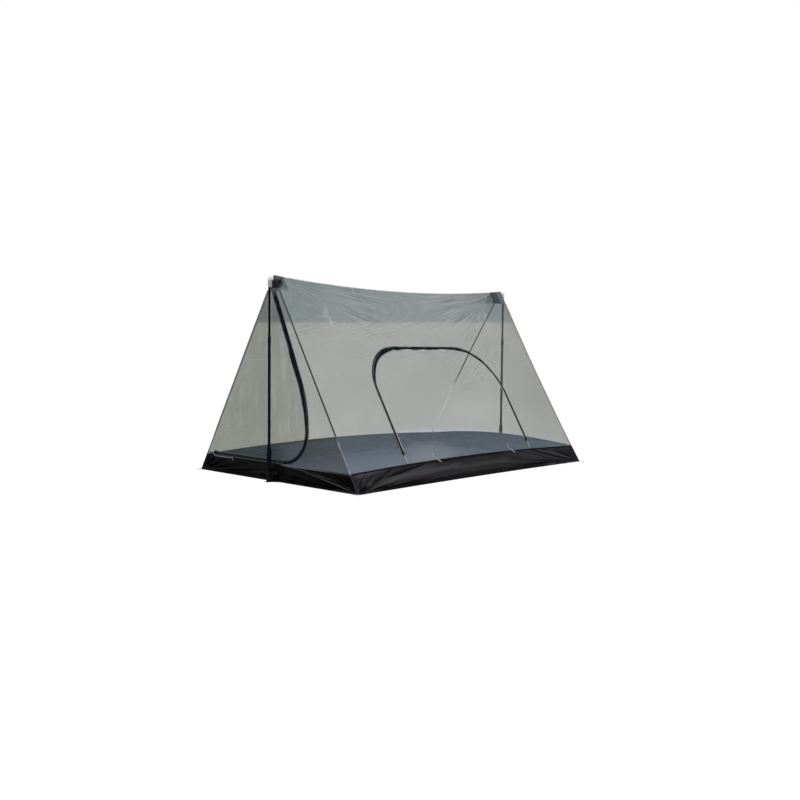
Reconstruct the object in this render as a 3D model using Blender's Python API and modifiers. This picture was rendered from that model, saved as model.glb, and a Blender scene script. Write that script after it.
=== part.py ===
# Mosquito net tent: an A-shaped net canopy sewn to a low tub floor, with a side door and an end door,
# held up by a telescopic pole at each end.
# The tent stands on z = 0. X runs across it, with the side door at +X. Y runs along it, with the end
# door at -Y. Sheets of cloth are plain thin solids, and the mesh of the net is left out.
import math

import bmesh
import bpy
from mathutils import Matrix, Vector

# Overall sizes of the pitched tent
TENT_LENGTH = 2.200
TENT_WIDTH = 1.450
RIDGE_HEIGHT = 1.220
RIDGE_SAG = 0.050
REAR_BOW = 0.025
GROUND_BOW = 0.025
TUB_CORNER_HEIGHT = 0.105
TUB_RISE_LEFT = 0.035
TUB_RISE_RIGHT = 0.022
TUB_RISE_REAR = 0.045

# Cloth and seams
NET_THICKNESS = 0.0006
WALL_THICKNESS = 0.0008
FLOOR_THICKNESS = 0.0008
SEAM_RADIUS = 0.003
CLEARANCE = 0.0004

# Folds that the cloth hangs and pulls in
CREASE_DEPTH = 0.006
CREASE_START = 0.080
CREASE_REACH = 0.650
CREASE_WAVES = 3.5
FAN_DEPTH = 0.005
FAN_REACH = 0.800
FAN_WAVES = 7.0
FAN_FOOT_SHARE = 0.72
FAN_EDGE_SHARE = 0.06

# Apex patches, folded over the ends of the ridge
PATCH_DROP = 0.100
PATCH_RUN_FRONT = 0.075
PATCH_RUN_REAR = 0.130
PATCH_THICKNESS = 0.0020

# Zip chain, the same on both doors
ZIP_GAP = 0.0020
TAPE_WIDTH = 0.0120
TAPE_THICKNESS = 0.0006
BEAD_WIDTH = 0.0020
BEAD_HEIGHT = 0.0024
ZIP_PARK = 0.028

# End door, in the front wall
FRONT_ZIP_MARGIN = 0.419
FRONT_ZIP_TOP = 0.0068
FRONT_ZIP_SHOULDER_SHARE = 0.574
FRONT_ZIP_CORNER = 0.200
FRONT_ZIP_END_MARGIN = 0.135
FRONT_HINGE_INSET = 0.020

# Side door, in the right slope
SIDE_DOOR_FRONT_MARGIN = 0.475
SIDE_DOOR_REAR_MARGIN = 0.500
SIDE_DOOR_TOP_MARGIN = 0.494
SIDE_DOOR_SILL = 0.200
SIDE_ARCH_FRONT_RADIUS = 0.280
SIDE_ARCH_REAR_RADIUS = 0.360

# Zip slider
SLIDER_LENGTH = 0.0150
SLIDER_FLARE = 0.0012
SLIDER_PLATE = 0.0012
SLIDER_POST = 0.0040
SLIDER_LIP = 0.0010
SLIDER_END = 0.0025
BRIDGE_WIDTH = 0.0022
BRIDGE_WIRE = 0.0012
BRIDGE_SPAN = 0.0068
BRIDGE_ROOM = 0.0027

# Zip pull
PULL_LENGTH = 0.058
PULL_WIDTH = 0.0060
PULL_THICKNESS = 0.0012
PULL_BAR = 0.0014
PULL_LIFT = 0.0013
PULL_EYE_LENGTH = 0.0056
PULL_TIP_SHARE = 0.7

# Poles
POLE_OFFSET = 0.032
POLE_LOWER_RADIUS = 0.0085
POLE_WALL = 0.0010
POLE_UPPER_RADIUS = 0.0070
POLE_UPPER_WALL = 0.0009
POLE_OVERLAP = 0.320
COLLAR_BASE = 0.823
COLLAR_LENGTH = 0.038
COLLAR_RADIUS = 0.0098
COLLAR_GROOVE = 0.0008
COLLAR_GROOVES = 12
GRIP_TOP = 0.206
GRIP_RADIUS = 0.0130
GRIP_ROUNDING = 0.0030
FOOT_RADIUS = 0.0145
FOOT_HEIGHT = 0.026
FOOT_SPIGOT_RADIUS = 0.0050
EXPANDER_LENGTH = 0.030
CAP_HEIGHT = 0.012
ROUND_STEPS = 20

# Pole pocket, sewn to the apex patch
POCKET_HEIGHT = 0.060
POCKET_DROP = 0.010
POCKET_WALL = 0.0014
POCKET_WEB = 0.0024

# Foot strap, which the pole stands on
STRAP_THICKNESS = 0.0020
STRAP_ROOT_WIDTH = 0.120
STRAP_TIP_WIDTH = 0.050
STRAP_OVERHANG = 0.024

# Peg loops at the ground corners
LOOP_WIDTH = 0.020
LOOP_LENGTH = 0.030
LOOP_WALL = 0.0012
LOOP_SLIT = 0.0014

# Ring at the front apex, for a rain cover
RING_WIRE_RADIUS = 0.0014
RING_WIDTH = 0.026
RING_DROP = 0.018
RING_PLACE = 0.030
RING_TAB_WIDTH = 0.018
RING_TAB_WALL = 0.0012
RING_TAB_LENGTH = 0.020

# Ties that hold the rolled side door, and the band across the front wall
TIE_SPACING = 0.750
TIE_LENGTH = 0.042
TIE_WIDTH = 0.006
TIE_THICKNESS = 0.0010
TOGGLE_LENGTH = 0.045
TOGGLE_RADIUS = 0.0030
TOGGLE_TURN = math.radians(52.0)
BAND_MARGIN = 0.146
BAND_LENGTH = 0.185

# Finishes: colour, roughness, metallic
NET_FINISH = ((0.33, 0.37, 0.34), 0.80, 0.0)
TUB_FINISH = ((0.020, 0.020, 0.024), 0.45, 0.0)
FLOOR_FINISH = ((0.050, 0.055, 0.062), 0.50, 0.0)
SEAM_FINISH = ((0.025, 0.028, 0.030), 0.85, 0.0)
TAPE_FINISH = ((0.015, 0.018, 0.020), 0.75, 0.0)
PATCH_FINISH = ((0.055, 0.055, 0.060), 0.80, 0.0)
WEBBING_FINISH = ((0.24, 0.25, 0.25), 0.85, 0.0)
STRAP_FINISH = ((0.020, 0.020, 0.020), 0.85, 0.0)
RIBBON_FINISH = ((0.45, 0.47, 0.50), 0.70, 0.0)
TUBE_FINISH = ((0.012, 0.012, 0.013), 0.30, 0.6)
GRIP_FINISH = ((0.015, 0.017, 0.020), 0.90, 0.0)
RUBBER_FINISH = ((0.012, 0.012, 0.012), 0.80, 0.0)
PLASTIC_FINISH = ((0.015, 0.015, 0.015), 0.40, 0.0)
METAL_FINISH = ((0.030, 0.030, 0.032), 0.35, 0.9)

# Sizes that follow from those above
HALF_LENGTH = TENT_LENGTH / 2
HALF_WIDTH = TENT_WIDTH / 2
SLOPE_LENGTH = math.hypot(HALF_WIDTH, RIDGE_HEIGHT)
SLOPE_SIN = HALF_WIDTH / SLOPE_LENGTH
SLOPE_COS = RIDGE_HEIGHT / SLOPE_LENGTH
FRONT_ZIP_REACH = HALF_WIDTH - FRONT_ZIP_MARGIN
FRONT_ZIP_END = HALF_WIDTH - FRONT_ZIP_END_MARGIN
FRONT_ZIP_SHOULDER = RIDGE_HEIGHT * FRONT_ZIP_SHOULDER_SHARE
SIDE_DOOR_FRONT = HALF_LENGTH - SIDE_DOOR_FRONT_MARGIN
SIDE_DOOR_REAR = HALF_LENGTH - SIDE_DOOR_REAR_MARGIN
SIDE_DOOR_TOP = SLOPE_LENGTH - SIDE_DOOR_TOP_MARGIN
SEAM_INSET = SEAM_RADIUS + CLEARANCE
WALL_FOOT = FLOOR_THICKNESS + CLEARANCE + WALL_THICKNESS / 2
PATCH_FOOT = RIDGE_HEIGHT - PATCH_DROP * SLOPE_COS
PATCH_EDGE = PATCH_FOOT - PATCH_THICKNESS / 2 - CLEARANCE
TAPE_EDGE = ZIP_GAP / 2 + TAPE_WIDTH
NET_EDGE = TAPE_EDGE + CLEARANCE
SMALLEST_MERGE = 0.00001

# Everything that the file held before goes, and the tent gets its own collection
for leftover in list(bpy.data.objects):
    bpy.data.objects.remove(leftover, do_unlink=True)
tent = bpy.data.collections.new("mosquito_net_tent")
cutters = bpy.data.collections.new("cutters")
bpy.context.scene.collection.children.link(tent)
bpy.context.scene.collection.children.link(cutters)


# Helpers for shapes

def smooth(share):
    share = min(max(share, 0.0), 1.0)
    return share * share * (3 - 2 * share)


def mix(start, end, share):
    return start + (end - start) * share


def finish(obj, look):
    colour, roughness, metallic = look
    material = bpy.data.materials.new(obj.name)
    material.use_nodes = True
    shader = material.node_tree.nodes["Principled BSDF"]
    shader.inputs["Base Color"].default_value = (*colour, 1.0)
    shader.inputs["Roughness"].default_value = roughness
    shader.inputs["Metallic"].default_value = metallic
    material.diffuse_color = (*colour, 1.0)
    obj.data.materials.clear()
    obj.data.materials.append(material)
    return obj


def add_part(name, data, look, frame=None):
    obj = bpy.data.objects.new(name, data)
    tent.objects.link(obj)
    if frame is not None:
        obj.matrix_world = frame
    return finish(obj, look)


def make_cutter(obj):
    for home in list(obj.users_collection):
        home.objects.unlink(obj)
    cutters.objects.link(obj)
    obj.hide_render = True
    obj.display_type = "WIRE"
    return obj


def combine(obj, other, operation):
    make_cutter(other)
    boolean = obj.modifiers.new(operation.lower() + "_" + other.name, "BOOLEAN")
    boolean.operation = operation
    boolean.object = other
    return obj


def shade_round(obj):
    obj.data.shade_smooth()
    obj.data.set_sharp_from_angle(angle=math.radians(35))
    return obj


def sheet(name, place, columns, rows, thickness, look):
    # A grid laid on the surface place(u, v), with its thickness from Solidify
    bm = bmesh.new()
    bmesh.ops.create_grid(bm, x_segments=columns, y_segments=rows, size=1.0)
    for vert in bm.verts:
        vert.co = place((vert.co.x + 1) / 2, (vert.co.y + 1) / 2)
    mesh = bpy.data.meshes.new(name)
    bm.to_mesh(mesh)
    bm.free()
    obj = add_part(name, mesh, look)
    solidify = obj.modifiers.new("thickness", "SOLIDIFY")
    solidify.thickness = thickness
    solidify.offset = 0.0
    return obj


def outline_curve(name, outlines, thickness):
    curve = bpy.data.curves.new(name, "CURVE")
    curve.dimensions = "2D"
    curve.fill_mode = "BOTH"
    curve.extrude = thickness / 2
    for outline in outlines:
        spline = curve.splines.new("POLY")
        spline.points.add(len(outline) - 1)
        for point, (across, along) in zip(spline.points, outline):
            point.co = (across, along, 0.0, 1.0)
        spline.use_cyclic_u = True
    return curve


def as_mesh(obj):
    # The same piece as a mesh, with its loose caps welded, for Boolean work
    frame = obj.matrix_world.copy()
    bpy.context.view_layer.update()
    depsgraph = bpy.context.evaluated_depsgraph_get()
    mesh = bpy.data.meshes.new_from_object(obj.evaluated_get(depsgraph))
    bm = bmesh.new()
    bm.from_mesh(mesh)
    bmesh.ops.remove_doubles(bm, verts=bm.verts, dist=SMALLEST_MERGE)
    bmesh.ops.recalc_face_normals(bm, faces=bm.faces)
    bm.to_mesh(mesh)
    bm.free()
    name = obj.name
    home = obj.users_collection[0]
    bpy.data.objects.remove(obj, do_unlink=True)
    solid = bpy.data.objects.new(name, mesh)
    home.objects.link(solid)
    solid.matrix_world = frame
    return solid


def plate(name, outlines, thickness, frame, look):
    # A flat outline, extruded to both sides of the frame's plane
    flat = add_part(name, outline_curve(name, outlines, thickness), look, frame)
    return finish(as_mesh(flat), look)


def rod(name, points, radius, look, sides=2):
    curve = bpy.data.curves.new(name, "CURVE")
    curve.dimensions = "3D"
    curve.bevel_depth = radius
    curve.bevel_resolution = sides
    curve.use_fill_caps = True
    spline = curve.splines.new("POLY")
    spline.points.add(len(points) - 1)
    for point, place in zip(spline.points, points):
        point.co = (*place, 1.0)
    return add_part(name, curve, look)


def turned(name, profile, place, look, steps=ROUND_STEPS):
    # A profile of radius and height, turned about the upright line through place. A profile that
    # starts and ends on that line is open, and any other closes on itself.
    mesh = bpy.data.meshes.new(name)
    corners = [(radius, 0.0, height) for radius, height in profile]
    edges = [(index, index + 1) for index in range(len(corners) - 1)]
    if profile[0][0] > 0:
        edges.append((len(corners) - 1, 0))
    mesh.from_pydata(corners, edges, [])
    obj = add_part(name, mesh, look)
    obj.location = place
    screw = obj.modifiers.new("turned", "SCREW")
    screw.angle = math.tau
    screw.steps = steps
    screw.render_steps = steps
    screw.use_merge_vertices = True
    screw.merge_threshold = SMALLEST_MERGE
    screw.use_smooth_shade = True
    return obj


def block(name, low, high, look, frame=None):
    bm = bmesh.new()
    bmesh.ops.create_cube(bm, size=1.0)
    for vert in bm.verts:
        vert.co = [mix(a, b, share + 1 / 2) for a, b, share in zip(low, high, vert.co)]
    mesh = bpy.data.meshes.new(name)
    bm.to_mesh(mesh)
    bm.free()
    return add_part(name, mesh, look, frame)


def arc(centre, radius, start, end, steps):
    points = []
    for index in range(steps + 1):
        angle = math.radians(mix(start, end, index / steps))
        points.append((centre[0] + radius * math.cos(angle), centre[1] + radius * math.sin(angle)))
    return points


def offset_path(path, distance):
    # The path moved to its left by distance, with mitred corners
    moved = []
    for index, point in enumerate(path):
        before = Vector(path[max(index - 1, 0)])
        here = Vector(point)
        after = Vector(path[min(index + 1, len(path) - 1)])
        normals = []
        for run in (here - before, after - here):
            if run.length > 0:
                run.normalize()
                normals.append(Vector((-run.y, run.x)))
        normal = sum(normals, Vector((0.0, 0.0)))
        normal.normalize()
        moved.append(tuple(here + normal * (distance / normal.dot(normals[0]))))
    return moved


def strip(edge, near, far):
    return edge(near) + edge(far)[::-1]


# The planes of the front wall and of the right slope. In each, the first axis is level, the second
# runs up the cloth, and the third points out of the tent.
FRONT_FRAME = Matrix.Translation((0, -HALF_LENGTH, 0)) @ Matrix((
    (1, 0, 0, 0),
    (0, 0, -1, 0),
    (0, 1, 0, 0),
    (0, 0, 0, 1),
))
SIDE_FRAME = Matrix.Translation((HALF_WIDTH, 0, 0)) @ Matrix((
    (0, -SLOPE_SIN, SLOPE_COS, 0),
    (1, 0, 0, 0),
    (0, SLOPE_COS, SLOPE_SIN, 0),
    (0, 0, 0, 1),
))


# The lines that the cloth follows

def slope_x(height):
    return HALF_WIDTH * (1 - height / RIDGE_HEIGHT)


def rear_y(height):
    share = height / RIDGE_HEIGHT
    return HALF_LENGTH - REAR_BOW * 4 * share * (1 - share)


def ridge_z(y):
    share = y / HALF_LENGTH
    return RIDGE_HEIGHT - RIDGE_SAG * (1 - share * share)


def hump(share):
    return 4 * share * (1 - share)


def tub_top(rise, share):
    return TUB_CORNER_HEIGHT + rise * hump(share)


def end_y(height, share):
    return mix(-HALF_LENGTH + SEAM_INSET, rear_y(height) - SEAM_INSET, share)


def crowd(share):
    # Columns stand closer towards both ends
    return share - math.sin(math.tau * share) * 4 / 5 / math.tau


# Floor

def floor_outline():
    steps = 16
    right = []
    for index in range(steps + 1):
        share = index / steps
        right.append((HALF_WIDTH - GROUND_BOW * hump(share), mix(-HALF_LENGTH, HALF_LENGTH, share)))
    left = [(-x, y) for x, y in reversed(right)]
    return right + left


plate(
    "floor_sheet",
    [floor_outline()],
    FLOOR_THICKNESS,
    Matrix.Translation((0, 0, FLOOR_THICKNESS / 2)),
    FLOOR_FINISH,
)


# Tub walls, with creases that fan out of their ground corners

def crease(distance, share):
    spread = math.atan2(share, distance / CREASE_REACH)
    fade = smooth(distance / CREASE_START) * (1 - smooth(distance / CREASE_REACH))
    return CREASE_DEPTH * fade * math.sin(CREASE_WAVES * 4 * spread) * hump(share)


def side_wall(side, rise):
    def place(across, up):
        share = crowd(across)
        top = tub_top(rise, share) - SEAM_INSET * SLOPE_COS
        height = mix(WALL_FOOT, top, up)
        y = end_y(height, share)
        foot = slope_x(WALL_FOOT) - GROUND_BOW * hump(share)
        x = mix(foot, slope_x(top), up)
        out = crease(TENT_LENGTH * share, up) + crease(TENT_LENGTH * (1 - share), up)
        return (side * (x + out * SLOPE_COS), y, height + out * SLOPE_SIN)
    return place


def end_wall(rear):
    inset = SEAM_INSET / SLOPE_COS

    def place(across, up):
        share = crowd(across)
        rise = TUB_RISE_REAR if rear else 0.0
        height = mix(WALL_FOOT, tub_top(rise, share) - SEAM_INSET, up)
        reach = slope_x(height) - inset
        out = crease(TENT_WIDTH * share, up) + crease(TENT_WIDTH * (1 - share), up)
        x = mix(-reach, reach, share)
        y = rear_y(height) + out if rear else -HALF_LENGTH - out
        return (x, y, height)
    return place


WALL_ROWS = 6
sheet("tub_wall_left", side_wall(-1, TUB_RISE_LEFT), 26, WALL_ROWS, WALL_THICKNESS, TUB_FINISH)
sheet("tub_wall_right", side_wall(1, TUB_RISE_RIGHT), 26, WALL_ROWS, WALL_THICKNESS, TUB_FINISH)
sheet("tub_wall_front", end_wall(False), 20, WALL_ROWS, WALL_THICKNESS, TUB_FINISH)
sheet("tub_wall_rear", end_wall(True), 20, WALL_ROWS, WALL_THICKNESS, TUB_FINISH)


# Seams: bound edges where the cloth panels meet

def corner_seam(name, side, rear):
    foot = FLOOR_THICKNESS + CLEARANCE + SEAM_RADIUS
    top = PATCH_FOOT - SEAM_RADIUS - CLEARANCE
    steps = 12 if rear else 1
    points = []
    for index in range(steps + 1):
        height = mix(foot, top, index / steps)
        y = rear_y(height) if rear else -HALF_LENGTH
        points.append((side * slope_x(height), y, height))
    return rod(name, points, SEAM_RADIUS, SEAM_FINISH)


corner_seam("seam_front_left", -1, False)
corner_seam("seam_front_right", 1, False)
corner_seam("seam_rear_left", -1, True)
corner_seam("seam_rear_right", 1, True)


def side_binding(name, side, rise):
    points = []
    steps = 18
    for index in range(steps + 1):
        share = index / steps
        height = tub_top(rise, share)
        points.append((side * slope_x(height), end_y(height, share), height))
    return rod(name, points, SEAM_RADIUS, SEAM_FINISH)


def end_binding(name, rear):
    points = []
    rise = TUB_RISE_REAR if rear else 0.0
    steps = 24 if rear else 1
    trim = (CLEARANCE / SLOPE_COS + SEAM_RADIUS * SLOPE_SIN) / TENT_WIDTH
    for index in range(steps + 1):
        share = mix(trim, 1 - trim, index / steps)
        height = tub_top(rise, share)
        reach = slope_x(height) - SEAM_INSET / SLOPE_COS
        y = rear_y(height) if rear else -HALF_LENGTH
        points.append((mix(-reach, reach, share), y, height))
    return rod(name, points, SEAM_RADIUS, SEAM_FINISH)


side_binding("tub_binding_left", -1, TUB_RISE_LEFT)
side_binding("tub_binding_right", 1, TUB_RISE_RIGHT)
end_binding("tub_binding_front", False)
end_binding("tub_binding_rear", True)

ridge_start = -HALF_LENGTH + PATCH_RUN_FRONT + CLEARANCE
ridge_end = HALF_LENGTH - PATCH_RUN_REAR - CLEARANCE
ridge_line = []
for index in range(21):
    y = mix(ridge_start, ridge_end, index / 20)
    ridge_line.append((0.0, y, ridge_z(y)))
rod("ridge_seam", ridge_line, SEAM_RADIUS, SEAM_FINISH)


# Zip paths. Both run so that the door lies on their right.

def front_zip_edge(left_end, distance):
    # From under the apex patch, down the right of the door, round its corner and along the tub, moved
    # out by distance and cut level at the top
    rail = TUB_CORNER_HEIGHT + SEAM_INSET + TAPE_EDGE
    corner_centre = (FRONT_ZIP_REACH - FRONT_ZIP_CORNER, rail + FRONT_ZIP_CORNER)
    corner = arc(corner_centre, FRONT_ZIP_CORNER, 0, -90, 10)
    top = Vector((FRONT_ZIP_TOP, PATCH_EDGE))
    shoulder_centre = Vector((FRONT_ZIP_REACH - FRONT_ZIP_SHOULDER, rail + FRONT_ZIP_CORNER))
    run = top - shoulder_centre
    lean = math.atan2(run.y, run.x) - math.acos(FRONT_ZIP_SHOULDER / run.length)
    shoulder = arc(shoulder_centre, FRONT_ZIP_SHOULDER, math.degrees(lean), 0, 6)
    edge = offset_path([tuple(top)] + shoulder + corner[1:] + [(-left_end, rail)], distance)
    edge[0] = (FRONT_ZIP_TOP + distance / math.cos(lean), PATCH_EDGE)
    return edge


def side_zip_edge(sill, distance):
    # Up the front leg, over the arch and down the rear leg, moved out by distance
    front_arch = arc(
        (SIDE_ARCH_FRONT_RADIUS - SIDE_DOOR_FRONT, SIDE_DOOR_TOP - SIDE_ARCH_FRONT_RADIUS),
        SIDE_ARCH_FRONT_RADIUS, 180, 90, 10,
    )
    rear_arch = arc(
        (SIDE_DOOR_REAR - SIDE_ARCH_REAR_RADIUS, SIDE_DOOR_TOP - SIDE_ARCH_REAR_RADIUS),
        SIDE_ARCH_REAR_RADIUS, 90, 0, 10,
    )
    path = [(-SIDE_DOOR_FRONT, sill)] + front_arch + rear_arch + [(SIDE_DOOR_REAR, sill)]
    return offset_path(path, distance)


def zip_tape(name, zip_edge, end, side, frame):
    # A woven tape with the swelling of the coil along its inner edge
    def edge(distance):
        return zip_edge(end, side * distance)
    tape = strip(edge, (ZIP_GAP + BEAD_WIDTH) / 2, TAPE_EDGE)
    bead = strip(edge, ZIP_GAP / 2, ZIP_GAP / 2 + BEAD_WIDTH)
    piece = plate(name, [tape], TAPE_THICKNESS, frame, TAPE_FINISH)
    return combine(piece, plate(name + "_bead", [bead], BEAD_HEIGHT, frame, TAPE_FINISH), "UNION")


side_sill = SIDE_DOOR_SILL + CLEARANCE / 2
zip_tape("front_zip_tape_fixed", front_zip_edge, FRONT_ZIP_END, 1, FRONT_FRAME)
zip_tape("front_zip_tape_door", front_zip_edge, FRONT_ZIP_END - ZIP_PARK, -1, FRONT_FRAME)
zip_tape("side_zip_tape_fixed", side_zip_edge, side_sill, 1, SIDE_FRAME)
zip_tape("side_zip_tape_door", side_zip_edge, SIDE_DOOR_SILL + ZIP_PARK, -1, SIDE_FRAME)


# Net slopes, with the sag of the ridge and folds that fan out of the apexes

def fan(distance, drop, across, up):
    angle = math.atan2(drop, distance)
    reach = math.hypot(drop, distance)
    fade = 1 - smooth(reach / FAN_REACH)
    edge = smooth(across / FAN_EDGE_SHARE) * smooth((1 - across) / FAN_EDGE_SHARE)
    edge *= smooth((1 - up) / FAN_EDGE_SHARE) * smooth((up - FAN_FOOT_SHARE) / (1 - FAN_FOOT_SHARE))
    return FAN_DEPTH * fade * edge * math.sin(FAN_WAVES * 4 * angle)


def net_slope(side, rise):
    def place(across, up):
        share = crowd(across)
        rising = 1 - (1 - up) ** 1.4
        y_top = end_y(RIDGE_HEIGHT, share)
        foot = tub_top(rise, share) + SEAM_INSET * SLOPE_COS
        top = ridge_z(y_top) - SEAM_INSET * SLOPE_COS
        height = mix(foot, top, rising)
        y = end_y(height, share)
        drawn = slope_x(ridge_z(y_top)) * smooth((rising - FAN_FOOT_SHARE) / (1 - FAN_FOOT_SHARE))
        drop = RIDGE_HEIGHT - height
        out = fan(y + HALF_LENGTH, drop, across, rising) + fan(HALF_LENGTH - y, drop, across, rising)
        x = slope_x(height) - drawn + out * SLOPE_COS
        return (side * x, y, height + out * SLOPE_SIN)
    return place


def patch_notch(name, rear, side):
    # The corner that an apex patch takes out of a net slope
    run = PATCH_RUN_REAR if rear else PATCH_RUN_FRONT
    inner = HALF_LENGTH - run - CLEARANCE
    outer = HALF_LENGTH + run
    low = (-HALF_WIDTH, inner if rear else -outer, PATCH_EDGE)
    high = (HALF_WIDTH, outer if rear else -inner, RIDGE_HEIGHT + PATCH_DROP)
    return block(name + side, low, high, PATCH_FINISH)


NET_COLUMNS = 32
NET_ROWS = 12
for side_name, side, rise in (("left", -1, TUB_RISE_LEFT), ("right", 1, TUB_RISE_RIGHT)):
    net = sheet("net_" + side_name, net_slope(side, rise), NET_COLUMNS, NET_ROWS, NET_THICKNESS, NET_FINISH)
    combine(net, patch_notch("front_notch_", False, side_name), "DIFFERENCE")
    combine(net, patch_notch("rear_notch_", True, side_name), "DIFFERENCE")

door_hole = side_zip_edge(SIDE_DOOR_SILL - CLEARANCE / 2, NET_EDGE)
door_cutter = plate("side_door_hole", [door_hole], PATCH_DROP, SIDE_FRAME, NET_FINISH)
combine(bpy.data.objects["net_right"], door_cutter, "DIFFERENCE")


# Net end walls

def rear_net(across, up):
    foot = tub_top(TUB_RISE_REAR, across) + SEAM_INSET
    height = mix(foot, PATCH_EDGE, up)
    reach = slope_x(height) - SEAM_INSET / SLOPE_COS
    return (mix(-reach, reach, across), rear_y(height), height)


sheet("net_rear", rear_net, 20, 9, NET_THICKNESS, NET_FINISH)

wall_foot = TUB_CORNER_HEIGHT + SEAM_INSET
seam_inset_level = SEAM_INSET / SLOPE_COS


def seam_edge(height):
    return slope_x(height) - seam_inset_level


def hinge_edge(height):
    return -slope_x(height) + FRONT_HINGE_INSET / SLOPE_COS


# The fixed net between the zip and the right corner seam
outer_edge = front_zip_edge(FRONT_ZIP_END, NET_EDGE)
outer_edge = [point for point in outer_edge if point[1] > wall_foot + CLEARANCE]
net_front_outline = [(outer_edge[0][0], PATCH_EDGE), (seam_edge(PATCH_EDGE), PATCH_EDGE)]
net_front_outline += [(seam_edge(wall_foot), wall_foot), (outer_edge[-1][0], wall_foot)]
net_front_outline += outer_edge[:0:-1]
plate("net_front_right", [net_front_outline], NET_THICKNESS, FRONT_FRAME, NET_FINISH)

# The end door hangs from a fixed strip of net along the left corner seam
door_foot = wall_foot + TAPE_EDGE + ZIP_GAP / 2 + TAPE_WIDTH + CLEARANCE
strip_gap = CLEARANCE / 2 / SLOPE_COS
zip_end = -FRONT_ZIP_END - CLEARANCE
hinge_strip_outline = [
    (-seam_edge(wall_foot), wall_foot),
    (zip_end, wall_foot),
    (zip_end, door_foot - CLEARANCE),
    (hinge_edge(door_foot) - strip_gap, door_foot - CLEARANCE),
    (hinge_edge(PATCH_EDGE) - strip_gap, PATCH_EDGE),
    (-seam_edge(PATCH_EDGE), PATCH_EDGE),
]
plate("net_front_left", [hinge_strip_outline], NET_THICKNESS, FRONT_FRAME, NET_FINISH)

inner_edge = front_zip_edge(FRONT_ZIP_END, -NET_EDGE)
front_door_outline = [
    (hinge_edge(PATCH_EDGE) + strip_gap, PATCH_EDGE),
    (hinge_edge(door_foot) + strip_gap, door_foot),
]
front_door_outline += [point for point in reversed(inner_edge) if point[0] > -FRONT_ZIP_END]
plate("front_door_net", [front_door_outline], NET_THICKNESS, FRONT_FRAME, NET_FINISH)

side_door_outline = side_zip_edge(side_sill, -NET_EDGE)
plate("side_door_net", [side_door_outline], NET_THICKNESS, SIDE_FRAME, NET_FINISH)


# Each door turns about an empty on its hinge line, where it folds over the edge of the fixed cloth

def hang_door(name, hinge, pieces):
    pivot = bpy.data.objects.new(name, None)
    tent.objects.link(pivot)
    pivot.matrix_world = hinge
    bpy.context.view_layer.update()
    for piece in pieces:
        place = bpy.data.objects[piece].matrix_world.copy()
        bpy.data.objects[piece].parent = pivot
        bpy.data.objects[piece].matrix_world = place


front_hinge = Matrix.Translation((hinge_edge(door_foot), NET_THICKNESS / 2 - HALF_LENGTH, door_foot))
front_hinge = front_hinge @ Matrix.Rotation(math.atan2(HALF_WIDTH, RIDGE_HEIGHT), 4, "Y")
hang_door("front_door_hinge", front_hinge, ["front_door_net", "front_zip_tape_door"])
side_hinge = SIDE_FRAME @ Matrix.Translation((0, SIDE_DOOR_SILL, NET_THICKNESS / 2))
hang_door("side_door_hinge", side_hinge, ["side_door_net", "side_zip_tape_door"])


# Apex patches: a cap of doubled cloth over each end of the ridge, with its end closed

def apex_patch(name, rear):
    bm = bmesh.new()
    bmesh.ops.create_cone(bm, cap_ends=True, segments=3, radius1=1.0, radius2=1.0, depth=2.0)
    run = PATCH_RUN_REAR if rear else PATCH_RUN_FRONT
    outward = 1 if rear else -1
    for vert in bm.verts:
        inner = vert.co.z * outward < 0
        y_foot = rear_y(PATCH_FOOT) if rear else -HALF_LENGTH
        y = outward * (HALF_LENGTH - run) if inner else outward * HALF_LENGTH
        if vert.co.y > 1 / 2:
            vert.co = (0.0, y, ridge_z(y))
        else:
            side = 1 if vert.co.x > 0 else -1
            vert.co = (side * slope_x(PATCH_FOOT), y if inner else y_foot, PATCH_FOOT)
    open_faces = []
    for face in bm.faces:
        centre = face.calc_center_median()
        is_inner_end = len(face.verts) == 3 and abs(centre.y) < HALF_LENGTH - run / 2
        is_underside = len(face.verts) == 4 and abs(centre.x) < SEAM_RADIUS
        if is_inner_end or is_underside:
            open_faces.append(face)
    bmesh.ops.delete(bm, geom=open_faces, context="FACES")
    bmesh.ops.recalc_face_normals(bm, faces=bm.faces)
    mesh = bpy.data.meshes.new(name)
    bm.to_mesh(mesh)
    bm.free()
    patch = add_part(name, mesh, PATCH_FINISH)
    solidify = patch.modifiers.new("thickness", "SOLIDIFY")
    solidify.thickness = PATCH_THICKNESS
    solidify.offset = 0.0
    solidify.use_even_offset = True
    return patch


apex_patch("apex_patch_front", False)
apex_patch("apex_patch_rear", True)


# Poles: a foam grip and a rubber foot on the lower tube, a twist collar, and an upper tube whose end
# stands in a pocket at the apex

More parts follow.
